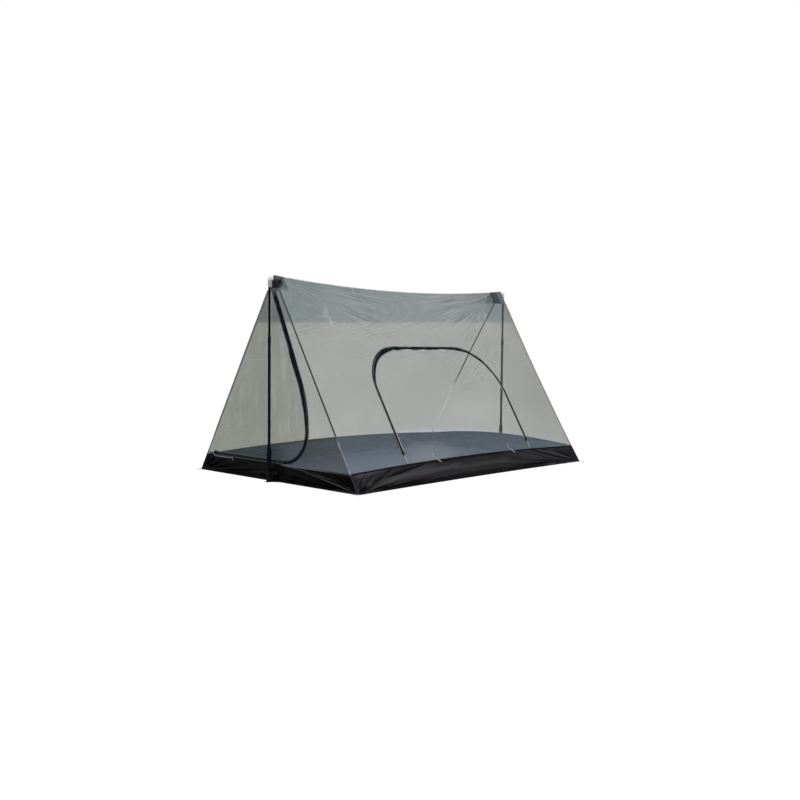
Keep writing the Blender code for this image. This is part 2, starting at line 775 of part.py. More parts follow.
def tent_pole(end_name, outward):
    place = Vector((0, outward * (HALF_LENGTH + POLE_OFFSET), 0))
    base = "pole_" + end_name
    foot_base = STRAP_THICKNESS + CLEARANCE
    socket = foot_base + FOOT_HEIGHT / 3
    bore = POLE_LOWER_RADIUS - POLE_WALL
    tube_foot = socket + CLEARANCE
    tube_top = COLLAR_BASE - CLEARANCE
    seat = POLE_LOWER_RADIUS + CLEARANCE
    foot = [
        (0.0, socket), (seat, socket), (seat, foot_base + FOOT_HEIGHT),
        (FOOT_RADIUS - GRIP_ROUNDING, foot_base + FOOT_HEIGHT), (FOOT_RADIUS, foot_base),
        (FOOT_SPIGOT_RADIUS, foot_base), (FOOT_SPIGOT_RADIUS, CLEARANCE), (0.0, CLEARANCE),
    ]
    turned(base + "_foot", foot, place, RUBBER_FINISH)
    lower = [
        (0.0, tube_foot + POLE_WALL), (bore, tube_foot + POLE_WALL), (bore, tube_top),
        (POLE_LOWER_RADIUS, tube_top), (POLE_LOWER_RADIUS, tube_foot), (0.0, tube_foot),
    ]
    turned(base + "_lower_tube", lower, place, TUBE_FINISH)
    grip_foot = foot_base + FOOT_HEIGHT + CLEARANCE
    grip = [
        (seat, GRIP_TOP), (GRIP_RADIUS - GRIP_ROUNDING, GRIP_TOP),
        (GRIP_RADIUS, GRIP_TOP - GRIP_ROUNDING), (GRIP_RADIUS, grip_foot), (seat, grip_foot),
    ]
    turned(base + "_grip", grip, place, GRIP_FINISH)

    collar_top = COLLAR_BASE + COLLAR_LENGTH
    collar_bore = POLE_UPPER_RADIUS + CLEARANCE
    ribs = []
    for index in range(COLLAR_GROOVES * 4):
        radius = COLLAR_RADIUS if index % 4 < 2 else COLLAR_RADIUS - COLLAR_GROOVE
        turn = math.tau * index / COLLAR_GROOVES / 4
        ribs.append((radius * math.cos(turn), radius * math.sin(turn)))
    bore_outline = arc((0.0, 0.0), collar_bore, 0, 345, 23)
    collar_frame = Matrix.Translation(place + Vector((0, 0, (COLLAR_BASE + collar_top) / 2)))
    plate(base + "_collar", [ribs, bore_outline], COLLAR_LENGTH, collar_frame, PLASTIC_FINISH)

    pocket_top = RIDGE_HEIGHT - POCKET_DROP
    upper_top = pocket_top - POCKET_WALL - CLEARANCE
    upper_foot = COLLAR_BASE - POLE_OVERLAP
    inside = POLE_UPPER_RADIUS - POLE_UPPER_WALL
    rim = POLE_UPPER_RADIUS - POLE_UPPER_WALL * 2
    upper = [
        (0.0, upper_top), (rim, upper_top), (POLE_UPPER_RADIUS, upper_top - CAP_HEIGHT),
        (POLE_UPPER_RADIUS, upper_foot), (inside, upper_foot), (inside, upper_top - CAP_HEIGHT),
        (0.0, upper_top - CAP_HEIGHT),
    ]
    turned(base + "_upper_tube", upper, place, TUBE_FINISH)
    stem = inside - CLEARANCE
    expander = [
        (0.0, upper_foot + EXPANDER_LENGTH), (stem, upper_foot + EXPANDER_LENGTH),
        (stem, upper_foot - CLEARANCE), (bore - CLEARANCE, upper_foot - CLEARANCE),
        (bore - CLEARANCE, upper_foot - EXPANDER_LENGTH * 2 / 3), (stem, upper_foot - EXPANDER_LENGTH),
        (0.0, upper_foot - EXPANDER_LENGTH),
    ]
    turned(base + "_expander", expander, place, PLASTIC_FINISH, 16)

    # The pocket is a turned cup with a doubled web of cloth that runs back to the patch
    pocket_bore = POLE_UPPER_RADIUS + CLEARANCE
    pocket_radius = pocket_bore + POCKET_WALL
    pocket_foot = pocket_top - POCKET_HEIGHT
    cup = [
        (0.0, pocket_top), (pocket_bore, pocket_top), (pocket_radius, pocket_top - POCKET_WALL),
        (pocket_radius, pocket_foot), (pocket_bore, pocket_foot),
        (pocket_bore, pocket_top - POCKET_WALL), (0.0, pocket_top - POCKET_WALL),
    ]
    pocket = turned("apex_pocket_" + end_name, cup, place, WEBBING_FINISH, 16)
    patch_face = HALF_LENGTH + PATCH_THICKNESS / 2 + CLEARANCE
    near = outward * (HALF_LENGTH + POLE_OFFSET - pocket_bore - POCKET_WALL / 2)
    far = outward * patch_face
    web_y = sorted((near, far))
    web = block(
        "apex_web_" + end_name,
        (-POCKET_WEB / 2, web_y[0], pocket_foot + POCKET_WALL),
        (POCKET_WEB / 2, web_y[1], pocket_top - POCKET_WALL * 2),
        WEBBING_FINISH,
    )
    combine(pocket, web, "UNION")

    # The strap lies on the ground, and the foot's spigot stands in its eyelet
    root = outward * (HALF_LENGTH + WALL_THICKNESS + CLEARANCE)
    tip = outward * (HALF_LENGTH + POLE_OFFSET + STRAP_OVERHANG)
    shoulder = outward * (HALF_LENGTH + POLE_OFFSET)
    strap_outline = [
        (-STRAP_ROOT_WIDTH / 2, root), (-STRAP_TIP_WIDTH / 2, shoulder),
        (-STRAP_TIP_WIDTH / 4, tip), (STRAP_TIP_WIDTH / 4, tip),
        (STRAP_TIP_WIDTH / 2, shoulder), (STRAP_ROOT_WIDTH / 2, root),
    ]
    hole = arc((0.0, shoulder), FOOT_SPIGOT_RADIUS + CLEARANCE, 0, 360 * 15 / 16, 15)
    strap_frame = Matrix.Translation((0, 0, STRAP_THICKNESS / 2))
    plate("foot_strap_" + end_name, [strap_outline, hole], STRAP_THICKNESS, strap_frame, STRAP_FINISH)


tent_pole("front", -1)
tent_pole("rear", 1)


# Peg loops: webbing folded flat, pointing out of each ground corner

def peg_loop(name, side, outward):
    half = LOOP_WALL + LOOP_SLIT / 2
    nose = arc((LOOP_LENGTH - half, 0.0), half, -90, 90, 6)
    heel = arc((half, 0.0), half, 90, 270, 6)
    slit = LOOP_SLIT / 2
    slit_nose = arc((LOOP_LENGTH - half, 0.0), slit, -90, 90, 6)
    slit_heel = arc((half, 0.0), slit, 90, 270, 6)
    turn = math.atan2(outward, side)
    corner = Vector((side * HALF_WIDTH, outward * HALF_LENGTH, half))
    start = corner + Vector((math.cos(turn), math.sin(turn), 0)) * CLEARANCE
    frame = Matrix.Translation(start) @ Matrix.Rotation(turn, 4, "Z")
    frame = frame @ Matrix.Rotation(math.pi / 2, 4, "X")
    plate(name, [nose + heel, slit_nose + slit_heel], LOOP_WIDTH, frame, STRAP_FINISH)


peg_loop("peg_loop_front_left", -1, -1)
peg_loop("peg_loop_front_right", 1, -1)
peg_loop("peg_loop_rear_left", -1, 1)
peg_loop("peg_loop_rear_right", 1, 1)


# Zip sliders and pulls, drawn with the tape level, the travel along the second axis and the third
# axis out of the tent

CHANNEL = BEAD_HEIGHT / 2 + CLEARANCE
PULL_HEIGHT = CHANNEL + SLIDER_PLATE + PULL_LIFT


def zip_slider(name, frame):
    tail = ZIP_GAP / 2 + BEAD_WIDTH + CLEARANCE + SLIDER_LIP
    wide = tail + SLIDER_FLARE
    half = SLIDER_LENGTH / 2
    shield = [(-tail, -half), (tail, -half), (wide, half - SLIDER_END), (tail, half), (-tail, half)]
    shield.append((-wide, half - SLIDER_END))
    middle = CHANNEL + SLIDER_PLATE / 2
    top = plate(name, [shield], SLIDER_PLATE, frame @ Matrix.Translation((0, 0, middle)), METAL_FINISH)
    under_frame = frame @ Matrix.Translation((0, 0, -middle))
    combine(top, plate(name + "_under", [shield], SLIDER_PLATE, under_frame, METAL_FINISH), "UNION")
    post_half = ZIP_GAP / 2 - CLEARANCE
    post = block(
        name + "_post",
        (-post_half, half - SLIDER_POST - SLIDER_PLATE / 2, -middle),
        (post_half, half - SLIDER_PLATE / 2, middle),
        METAL_FINISH, frame,
    )
    combine(top, post, "UNION")
    lip_end = TAPE_THICKNESS / 2 + CLEARANCE * 2
    for lip_side in (-1, 1):
        for face in (-1, 1):
            across = sorted((lip_side * (tail - SLIDER_LIP), lip_side * tail))
            deep = sorted((face * lip_end, face * middle))
            lip = block(
                name + "_lip" + str(lip_side) + str(face),
                (across[0], SLIDER_PLATE / 2 - half, deep[0]), (across[1], half - SLIDER_END, deep[1]),
                METAL_FINISH, frame,
            )
            combine(top, lip, "UNION")
    inner = BRIDGE_SPAN / 2
    outer = inner + BRIDGE_WIRE
    peak = BRIDGE_ROOM + BRIDGE_WIRE
    bridge_outline = [
        (-outer, -SLIDER_PLATE / 2), (-inner, -SLIDER_PLATE / 2), (-inner, BRIDGE_ROOM),
        (inner, BRIDGE_ROOM), (inner, -SLIDER_PLATE / 2), (outer, -SLIDER_PLATE / 2),
        (outer, peak - BRIDGE_WIRE / 2), (inner, peak), (-inner, peak), (-outer, peak - BRIDGE_WIRE / 2),
    ]
    upright = Matrix(((0, 0, 1, 0), (1, 0, 0, 0), (0, 1, 0, 0), (0, 0, 0, 1)))
    bridge_frame = frame @ Matrix.Translation((0, 0, CHANNEL + SLIDER_PLATE)) @ upright
    combine(top, plate(name + "_bridge", [bridge_outline], BRIDGE_WIDTH, bridge_frame, METAL_FINISH), "UNION")
    return top


def zip_pull(name, frame):
    half = PULL_WIDTH / 2
    bar = PULL_BAR / 2
    tip = half * PULL_TIP_SHARE
    outline = [(-half, bar), (half, bar), (half, -PULL_EYE_LENGTH - bar * 2)]
    outline += [(half, -PULL_LENGTH + half), (tip, -PULL_LENGTH), (-tip, -PULL_LENGTH)]
    outline += [(-half, -PULL_LENGTH + half), (-half, -PULL_EYE_LENGTH - bar * 2)]
    eye_half = BRIDGE_WIDTH / 2 + CLEARANCE
    eye = [(-eye_half, -bar), (eye_half, -bar)]
    eye += [(eye_half, -bar - PULL_EYE_LENGTH), (-eye_half, -bar - PULL_EYE_LENGTH)]
    return plate(name, [outline, eye], PULL_THICKNESS, frame, RIBBON_FINISH)


def zip_set(name, frame):
    zip_slider(name + "_slider", frame)
    zip_pull(name + "_pull", frame @ Matrix.Translation((0, 0, PULL_HEIGHT)))


park = CLEARANCE * 4 + SLIDER_LENGTH / 2
rail_height = TUB_CORNER_HEIGHT + SEAM_INSET + TAPE_EDGE
front_place = Matrix.Translation((-FRONT_ZIP_END + park, rail_height, 0))
zip_set("front_zip", FRONT_FRAME @ front_place @ Matrix.Rotation(-math.pi / 2, 4, "Z"))
zip_set("side_zip_front", SIDE_FRAME @ Matrix.Translation((-SIDE_DOOR_FRONT, side_sill + park, 0)))
zip_set("side_zip_rear", SIDE_FRAME @ Matrix.Translation((SIDE_DOOR_REAR, side_sill + park, 0)))


# Ring for a rain cover, hanging in a folded tab on the front apex patch

tab_bore = RING_WIRE_RADIUS + CLEARANCE
tab_round = tab_bore + RING_TAB_WALL
ring_lift = PATCH_THICKNESS / 2 + CLEARANCE + tab_round
ring_place = (RING_PLACE - HALF_LENGTH, SLOPE_LENGTH - PATCH_DROP / 2, ring_lift)
ring_frame = SIDE_FRAME @ Matrix.Translation(ring_place)
ring_half = RING_WIDTH / 2
ring_points = [(-ring_half, 0.0), (ring_half, 0.0)]
ring_points += arc((0.0, -RING_DROP + ring_half), ring_half, 0, -180, 12)
ring_curve = bpy.data.curves.new("apex_ring", "CURVE")
ring_curve.dimensions = "3D"
ring_curve.bevel_depth = RING_WIRE_RADIUS
ring_curve.bevel_resolution = 1
ring_spline = ring_curve.splines.new("POLY")
ring_spline.points.add(len(ring_points) - 1)
for point, (x, y) in zip(ring_spline.points, ring_points):
    point.co = (x, y, 0.0, 1.0)
ring_spline.use_cyclic_u = True
add_part("apex_ring", ring_curve, PLASTIC_FINISH, ring_frame)

tab_back = RING_TAB_WALL * 2 - tab_round
tab_outline = arc((0.0, 0.0), tab_round, -90, 180 - math.degrees(math.asin(tab_back / tab_round)), 16)
tab_outline += [(-RING_TAB_LENGTH, tab_back), (-RING_TAB_LENGTH, -tab_round)]
tab_hole = arc((0.0, 0.0), tab_bore, 0, 330, 11)
tab_upright = Matrix(((0, 0, 1, 0), (-1, 0, 0, 0), (0, 1, 0, 0), (0, 0, 0, 1)))
plate("apex_ring_tab", [tab_outline, tab_hole], RING_TAB_WIDTH, ring_frame @ tab_upright, STRAP_FINISH)


# Ties for the rolled side door: a ribbon sewn below the sill, with a toggle at its end

def door_tie(name, y):
    lift = NET_THICKNESS / 2 + CLEARANCE + TIE_THICKNESS / 2
    top = SIDE_DOOR_SILL - CLEARANCE * 4
    half = TIE_WIDTH / 2
    ribbon = [(-half, top), (half, top), (half, top - TIE_LENGTH), (-half, top - TIE_LENGTH)]
    frame = SIDE_FRAME @ Matrix.Translation((y, 0, lift))
    plate(name + "_ribbon", [ribbon], TIE_THICKNESS, frame, RIBBON_FINISH)


for tie_name, tie_side in (("side_tie_front", -1), ("side_tie_rear", 1)):
    door_tie(tie_name, tie_side * TIE_SPACING / 2)
    toggle_lift = SEAM_RADIUS + CLEARANCE + TOGGLE_RADIUS
    middle = Vector((
        tie_side * TIE_SPACING / 2 + math.sin(TOGGLE_TURN) * TOGGLE_LENGTH / 2,
        SIDE_DOOR_SILL - CLEARANCE * 4 - TIE_LENGTH - math.cos(TOGGLE_TURN) * TOGGLE_LENGTH / 2,
        toggle_lift,
    ))
    reach = Vector((math.sin(TOGGLE_TURN), -math.cos(TOGGLE_TURN), 0)) * TOGGLE_LENGTH / 2
    ends = [SIDE_FRAME @ (middle - reach), SIDE_FRAME @ (middle + reach)]
    rod(tie_name + "_toggle", ends, TOGGLE_RADIUS, PLASTIC_FINISH)

band_lift = SEAM_RADIUS + CLEARANCE + TIE_THICKNESS / 2
band_half = TIE_WIDTH / 2
band_start = BAND_MARGIN - HALF_WIDTH
band_end = band_start + BAND_LENGTH
band = [(band_start, -band_half), (band_end, -band_half), (band_end, band_half), (band_start, band_half)]
band_frame = FRONT_FRAME @ Matrix.Translation((0, TUB_CORNER_HEIGHT, band_lift))
plate("front_door_band", [band], TIE_THICKNESS, band_frame, RIBBON_FINISH)
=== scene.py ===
import math
import bpy
from mathutils import Matrix, Vector, noise


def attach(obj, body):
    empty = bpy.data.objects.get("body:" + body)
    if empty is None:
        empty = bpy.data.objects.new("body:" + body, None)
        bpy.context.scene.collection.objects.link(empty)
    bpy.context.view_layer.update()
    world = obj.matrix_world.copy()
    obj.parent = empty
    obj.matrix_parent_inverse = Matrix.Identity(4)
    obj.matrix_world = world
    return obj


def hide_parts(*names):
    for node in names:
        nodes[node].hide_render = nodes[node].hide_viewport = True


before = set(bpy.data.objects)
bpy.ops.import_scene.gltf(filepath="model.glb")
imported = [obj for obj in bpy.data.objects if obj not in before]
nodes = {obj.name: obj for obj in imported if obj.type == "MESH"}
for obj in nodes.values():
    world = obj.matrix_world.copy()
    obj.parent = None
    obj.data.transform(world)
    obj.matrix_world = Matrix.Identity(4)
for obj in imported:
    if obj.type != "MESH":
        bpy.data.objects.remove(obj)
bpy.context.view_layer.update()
print("frame loaded:", len(nodes), "nodes")

# the pitched tent, as it was measured for the model
tent = {
    "length": 2.2, "width": 1.45, "height": 1.22, "ridgeSag": 0.05, "rearBow": 0.025, "groundBow": 0.025,
    "tubTop": 0.105, "tubRise": {"left": 0.035, "right": 0.022, "front": 0.0, "rear": 0.045},
    "inset": 0.0034, "gap": 0.0004, "patchDrop": 0.1, "poleOut": 0.032,
}
halfLength = tent["length"] / 2
halfWidth = tent["width"] / 2
height = tent["height"]
slopeLength = math.hypot(halfWidth, height)
lean = math.atan2(halfWidth, height)
leanSin = math.sin(lean)
leanCos = math.cos(lean)
patchFoot = height - tent["patchDrop"] * leanCos


# camera, solved from the corners of the tent in the photograph
camera = {"place": (4.4295, -4.7388, 0.8434), "yaw": 43.069, "pitch": 3.522, "roll": 0.606, "focal": 959.9}


def setCamera():
    yaw, pitch, roll = (math.radians(camera[turn]) for turn in ("yaw", "pitch", "roll"))
    ahead = Vector((-math.sin(yaw) * math.cos(pitch), math.cos(yaw) * math.cos(pitch), -math.sin(pitch)))
    right = Vector((math.cos(yaw), math.sin(yaw), 0))
    up = right.cross(ahead)
    across = right * math.cos(roll) + up * math.sin(roll)
    upright = up * math.cos(roll) - right * math.sin(roll)
    bpy.ops.object.camera_add()
    eye = bpy.context.object
    eye.name = "camera"
    turn = Matrix((across, upright, -ahead)).transposed().to_4x4()
    eye.matrix_world = Matrix.Translation(camera["place"]) @ turn
    eye.data.lens = camera["focal"] * 36 / 800  # the focal length in pixels, on an image 800 pixels wide
    bpy.context.scene.camera = eye


setCamera()
bpy.context.scene.view_settings.view_transform = "Standard"


# shader sums: a value that takes part in Python arithmetic adds its own Math nodes
class Shade:
    def __init__(self, paint, socket):
        self.paint = paint
        self.socket = socket

    def maths(self, operation, first, second=0.0):
        return self.paint.node("ShaderNodeMath", {"operation": operation}, {0: first, 1: second})

    def __add__(self, other):
        return self.maths("ADD", self, other)

    def __radd__(self, other):
        return self.maths("ADD", other, self)

    def __sub__(self, other):
        return self.maths("SUBTRACT", self, other)

    def __rsub__(self, other):
        return self.maths("SUBTRACT", other, self)

    def __mul__(self, other):
        return self.maths("MULTIPLY", self, other)

    def __rmul__(self, other):
        return self.maths("MULTIPLY", other, self)

    def __truediv__(self, other):
        return self.maths("DIVIDE", self, other)

    def __rtruediv__(self, other):
        return self.maths("DIVIDE", other, self)

    def wave(self):
        return self.maths("SINE", self)

    def size(self):
        return self.maths("ABSOLUTE", self)

    def larger(self, other):
        return self.maths("MAXIMUM", self, other)

    def between(self, low, high):  # 0 at low, 1 at high, with soft ends
        settings = {"interpolation_type": "SMOOTHSTEP"}
        return self.paint.node("ShaderNodeMapRange", settings, {0: self, 1: low, 2: high})


class Paint:
    def __init__(self, name, color, roughness, shine=0.06):
        self.material = bpy.data.materials.new(name)
        self.material.use_nodes = True
        self.tree = self.material.node_tree
        self.shader = self.tree.nodes["Principled BSDF"]
        even = {"Base Color": (*color, 1.0), "Roughness": roughness, "Specular IOR Level": shine}
        for socket, value in even.items():
            self.shader.inputs[socket].default_value = value

    def node(self, kind, settings=None, inputs=None, output=0):
        made = self.tree.nodes.new(kind)
        for key, value in (settings or {}).items():
            setattr(made, key, value)
        for key, value in (inputs or {}).items():
            if isinstance(value, Shade):
                self.tree.links.new(value.socket, made.inputs[key])
            else:
                made.inputs[key].default_value = value
        return Shade(self, made.outputs[output])

    def feed(self, socket, value):
        self.tree.links.new(value.socket, self.shader.inputs[socket])

    def split(self, vector):
        return [self.node("ShaderNodeSeparateXYZ", None, {0: vector}, axis) for axis in range(3)]

    def join(self, x, y, z):
        return self.node("ShaderNodeCombineXYZ", None, {0: x, 1: y, 2: z})

    def space(self):
        return self.node("ShaderNodeTexCoord", None, None, "Object")

    def cloth(self):  # metres along and across a piece's own cloth
        return self.node("ShaderNodeUVMap", {"uv_map": "cloth"})

    def noise(self, where, scale, detail=2.0, roughness=0.5):
        inputs = {"Vector": where, "Scale": scale, "Detail": detail, "Roughness": roughness}
        return self.node("ShaderNodeTexNoise", None, inputs)

    def blend(self, factor, first, second):
        def full(color):
            return color if isinstance(color, Shade) else (*color, 1.0)
        inputs = {0: factor, 6: full(first), 7: full(second)}
        return self.node("ShaderNodeMix", {"data_type": "RGBA"}, inputs, 2)

    def bump(self, relief, depth, strength=1.0):  # depth is in metres
        inputs = {"Strength": strength, "Distance": depth, "Height": relief}
        self.feed("Normal", self.node("ShaderNodeBump", None, inputs))


paints = {}  # every material by its name


def addPaints(make, looks):
    paints.update({name: make(name, **look) for name, look in looks.items()})


# net: fine threads that let half of the light through, grey green below, with a painted bluer reflection along
# the ridge, with painted highlights and shade on creases that fan out of both apexes, and painted hazy
# highlights where the slope catches the light
netLook = {
    # high is a painted bluer reflection along the ridge; the two crease colours are painted highlight and
    # painted shade; haze is a painted highlight
    "low": (0.082, 0.111, 0.070), "high": (0.038, 0.086, 0.091), "dusty": (0.16, 0.17, 0.13),
    "streak": (0.20, 0.20, 0.17), "creaseHighlight": (0.25, 0.28, 0.29), "creaseShade": (0.003, 0.022, 0.026),
    "haze": (0.62, 0.65, 0.68), "roughness": 0.8, "shine": 0.2,
    "mesh": 0.0024, "threads": (0.12, 0.46), "openShare": 0.34, "contrast": 0.5, "patchy": 0.12,
    "turn": (0.954, 0.982), "climb": 0.0205, "relief": 0.004,
    "rightFoot": {"from": 0.5, "top": 0.31, "fall": 0.082}, "frontFoot": {"top": 0.217, "rise": 0.162},
}
# painted hazy highlights where the slope catches the light
hazes = [  # along, up, half length, half height, lean, strength
    (-0.795, 1.010, 0.036, 0.055, 0.54, 0.075),
    (-0.781, 0.956, 0.020, 0.044, -0.15, 0.11),
    (-0.464, 1.152, 0.014, 0.036, 0.36, 0.13),
    (0.700, 1.017, 0.021, 0.050, 0.73, 0.07),
    (0.775, 1.020, 0.015, 0.075, 0.60, 0.11),
    (0.20, 0.42, 0.40, 0.12, 0.0, 0.06),
    (-0.40, 0.17, 0.30, 0.09, 0.0, 0.08),
]


def netStreaks(paint, where, tone, cover):  # upright streaks of the front wall, above the floor behind it
    x, _, up = paint.split(where)
    streak = paint.noise(paint.join(x * 17.0, 3.0, up * 2.6), 1.0, 3.0, 0.55)
    above = up.between(0.18, 0.42)
    tone = paint.blend(streak.between(0.52, 0.72) * above * 0.65, tone, netLook["streak"])
    return tone, cover + (0.5 - streak) * above * 0.14


def netFans(paint, where, tone, cover, relief):
    _, along, up = paint.split(where)
    drop = (height - up) / leanCos
    for start, seed in ((along + halfLength, 3.0), (halfLength - along, 7.0)):
        angle = start.maths("ARCTAN2", drop, start)
        reach = start.maths("POWER", start * start + drop * drop, 0.5)
        fade = (1.0 - angle.between(0.42, 0.74)) * (1.0 - reach.between(0.50, 1.10))
        fade = fade * reach.between(0.03, 0.12)
        crease = paint.noise(paint.join(angle * 78.0, reach * 2.2, seed), 1.0, 3.0, 0.55)
        # painted highlights on the crease crests and painted shade in their hollows
        light = crease.between(0.53, 0.62) * fade
        dark = (1.0 - crease.between(0.38, 0.47)) * fade
        tone = paint.blend(light * 0.8, tone, netLook["creaseHighlight"])
        tone = paint.blend(dark * 0.9, tone, netLook["creaseShade"])
        cover = cover + light * 0.04 + dark * 0.16 + (1.0 - reach.between(0.08, 0.55)) * 0.09
        relief = relief + light * 0.7
    return tone, cover, relief


def netHazes(paint, where, tone, cover):
    _, along, up = paint.split(where)
    for middle, rise, long, tall, slant, strength in hazes:
        side = (along - middle - (up - rise) * slant) / long
        level = (up - rise) / tall
        haze = (1.0 - (side * side + level * level).between(0.0, 1.0)) * strength
        haze = haze * paint.noise(where, 14.0, 4.0, 0.6).between(0.10, 0.62)
        # painted highlight
        tone = paint.blend(haze * 3.0, tone, netLook["haze"])
        cover = cover + haze * 0.6
    return tone, cover


def netPaint(name, seen="", low=netLook["low"], high=netLook["high"], foot=(), cover=(0.44, 0.52), denser=()):
    paint = Paint(name, low, netLook["roughness"], netLook["shine"])
    where = paint.space()
    parts = paint.split(where)
    _, along, up = parts
    across, down, _ = paint.split(paint.cloth())
    pitch = math.pi / netLook["mesh"]
    threads = [1.0 - (run * pitch).wave().size().between(*netLook["threads"]) for run in (across, down)]
    patches = paint.noise(where, 1.7, 3.0)
    turned = (up - along * netLook["climb"]).between(*netLook["turn"])
    lower, upper = cover
    cover = lower + (threads[0].larger(threads[1]) - netLook["openShare"]) * netLook["contrast"]
    cover = cover + (patches - 0.5) * netLook["patchy"] + turned * (upper - lower)
    for axis, start, end, more in denser:
        cover = cover + parts[axis].between(start, end) * more
    tone = low
    if foot:  # bluer where the net stands over the floor, up to a line that falls towards the rear or the left
        first, last, axis, start, end = foot
        size = netLook["rightFoot"] if axis else netLook["frontFoot"]
        if axis:
            rear = (along + size["from"]).larger(0.0)
            line = size["top"] - rear * rear * size["fall"]
        else:
            line = parts[0] * size["rise"] + size["top"]
        bluer = paint.blend(parts[axis].between(start, end), first, last)
        tone = paint.blend((up - line).between(-0.014, 0.014), bluer, low)
    # painted reflection: the net turns bluer in the band along the ridge
    tone = paint.blend(turned, tone, high)
    tone = paint.blend(paint.noise(where, 5.0, 4.0).between(0.5, 0.8) * 0.3, tone, netLook["dusty"])
    relief = patches * 0.3
    if "streaked" in seen:
        tone, cover = netStreaks(paint, where, tone, cover)
    if "fanned" in seen:
        tone, cover, relief = netFans(paint, where, tone, cover, relief)
    if "hazy" in seen:
        tone, cover = netHazes(paint, where, tone, cover)
    paint.feed("Base Color", tone)
    paint.feed("Alpha", cover)
    paint.bump(relief, netLook["relief"], 0.6)
    return paint.material


overFloor = ((0.25, 0.305, 0.365), (0.165, 0.205, 0.25), 2, 0.08, 0.30)
addPaints(netPaint, {
    "netRight": {"seen": "fanned hazy", "foot": overFloor},
    "netLeft": {},
    "netFront": {
        "seen": "streaked", "low": (0.063, 0.082, 0.027), "high": (0.042, 0.056, 0.052),
        "cover": (0.632, 0.785), "foot": ((0.060, 0.080, 0.100), (0.132, 0.158, 0.183), 0, -0.3, 0.6),
        "denser": [(0, -0.2, 0.1, -0.045), (2, 0.62, 0.35, 0.025)],
    },
    "netCorner": {
        "low": (0.066, 0.084, 0.050), "high": (0.046, 0.056, 0.051), "cover": (0.455, 0.64),
        "foot": ((0.076, 0.098, 0.115), (0.140, 0.168, 0.195), 0, -0.3, 0.6),
    },
    "netRear": {"low": (0.082, 0.092, 0.058), "denser": [(0, -0.1, 0.4, 0.07)]},
    "netDoor": {"seen": "hazy", "foot": overFloor},
})


# coated cloth of the tub: close plain weave, satin coating, fine crumples
coatLook = {
    # crease is painted shade in the hollows of the folds at the corners
    "crease": (0.0015, 0.0015, 0.002), "weave": 2600.0, "corners": (-halfLength, halfLength), "relief": 0.006,
}


# painted highlights on fold crests and painted shade in their hollows, where folds run out of the ground corners
def cornerGlints(paint, where, tone, gloss):  # folds that run out of the ground corners catch the light
    _, along, up = paint.split(where)
    for end in coatLook["corners"]:
        run = (along - end).size() + 0.02
        angle = (up + 0.004) / run
        ray = paint.join(angle.maths("LOGARITHM", angle, 2.718) * 2.4, run * 1.2, end)
        ridge = paint.noise(ray, 1.0, 2.0, 0.55)
        fade = (1.0 - run.between(0.25, 0.9)) * up.between(0.0, 0.012)
        tone = paint.blend((1.0 - ridge.between(0.38, 0.47)) * fade * 0.8, tone, coatLook["crease"])
        tone = paint.blend(ridge.between(0.54, 0.64) * fade * 0.7, tone, gloss)
    return tone


# painted highlights and painted shade along broad folds of the tub's walls
def broadFolds(paint, where, tone, folds, axis):  # each lies along a line between two places on the wall
    parts = paint.split(where)
    run, rise = parts[axis], parts[2]
    stray = (paint.noise(where, 9.0, 3.0) - 0.5) * 0.012
    for first, low, last, high, wide, share, color in folds:
        off = (rise + stray - low - (run - first) * ((high - low) / (last - first))).size()
        mask = (1.0 - off.between(wide * 0.25, wide)) * run.between(first - 0.03, first + 0.06) * share
        tone = paint.blend(mask * (1.0 - run.between(last - 0.08, last + 0.04)), tone, color)
    return tone


def coatedPaint(name, color, dust, roughness=0.45, shine=0.05, gloss=None, axis=1, folds=()):
    paint = Paint(name, color, roughness, shine)
    where = paint.space()
    across, down, _ = paint.split(paint.cloth())
    weave = (across * coatLook["weave"]).wave() * (down * coatLook["weave"]).wave()
    crumple = paint.noise(where, 11.0, 5.0, 0.62)
    streak = paint.noise(where, 3.0, 3.0)
    tone = paint.blend(streak.between(0.35, 0.75) * 0.6, color, dust)
    if gloss:
        tone = cornerGlints(paint, where, tone, gloss)
    tone = paint.blend(crumple.between(0.5, 0.8) * 0.35, tone, dust)
    if folds:
        tone = broadFolds(paint, where, tone, folds, axis)
    paint.feed("Base Color", tone)
    paint.feed("Roughness", roughness + (crumple - 0.5) * 0.3)
    paint.bump(crumple + weave * 0.015, coatLook["relief"], 0.5)
    return paint.material


# painted fold highlights (pale colours) and painted fold shade (near black): first place and its height, last
# place and its height, width, share, colour
rightFolds = [
    (-1.05, 0.030, -0.40, 0.080, 0.026, 0.85, (0.060, 0.057, 0.060)),
    (-0.91, 0.050, -0.15, 0.086, 0.018, 0.8, (0.054, 0.050, 0.054)),
    (-1.09, 0.090, -0.80, 0.122, 0.018, 0.7, (0.062, 0.052, 0.074)),
    (-0.25, 0.066, 0.36, 0.076, 0.020, 0.8, (0.040, 0.037, 0.036)),
    (-1.10, 0.006, -0.974, 0.110, 0.007, 0.95, (0.001, 0.001, 0.002)),
    (-1.10, 0.002, -0.722, 0.126, 0.012, 0.97, (0.001, 0.001, 0.001)),
    (-1.02, 0.028, -0.86, 0.110, 0.005, 0.6, (0.070, 0.066, 0.074)),
    (-0.84, 0.066, -0.445, 0.120, 0.009, 0.95, (0.001, 0.001, 0.001)),
    (-0.95, 0.010, 0.75, 0.018, 0.026, 0.9, (0.0012, 0.0012, 0.001)),
    (-0.45, 0.121, 0.34, 0.126, 0.018, 0.85, (0.003, 0.003, 0.006)),
    (0.51, 0.138, 0.95, 0.030, 0.008, 0.95, (0.001, 0.001, 0.001)),
    (0.69, 0.126, 1.00, 0.050, 0.007, 0.95, (0.001, 0.001, 0.001)),
    (0.60, 0.130, 0.97, 0.040, 0.004, 0.6, (0.060, 0.058, 0.062)),
]
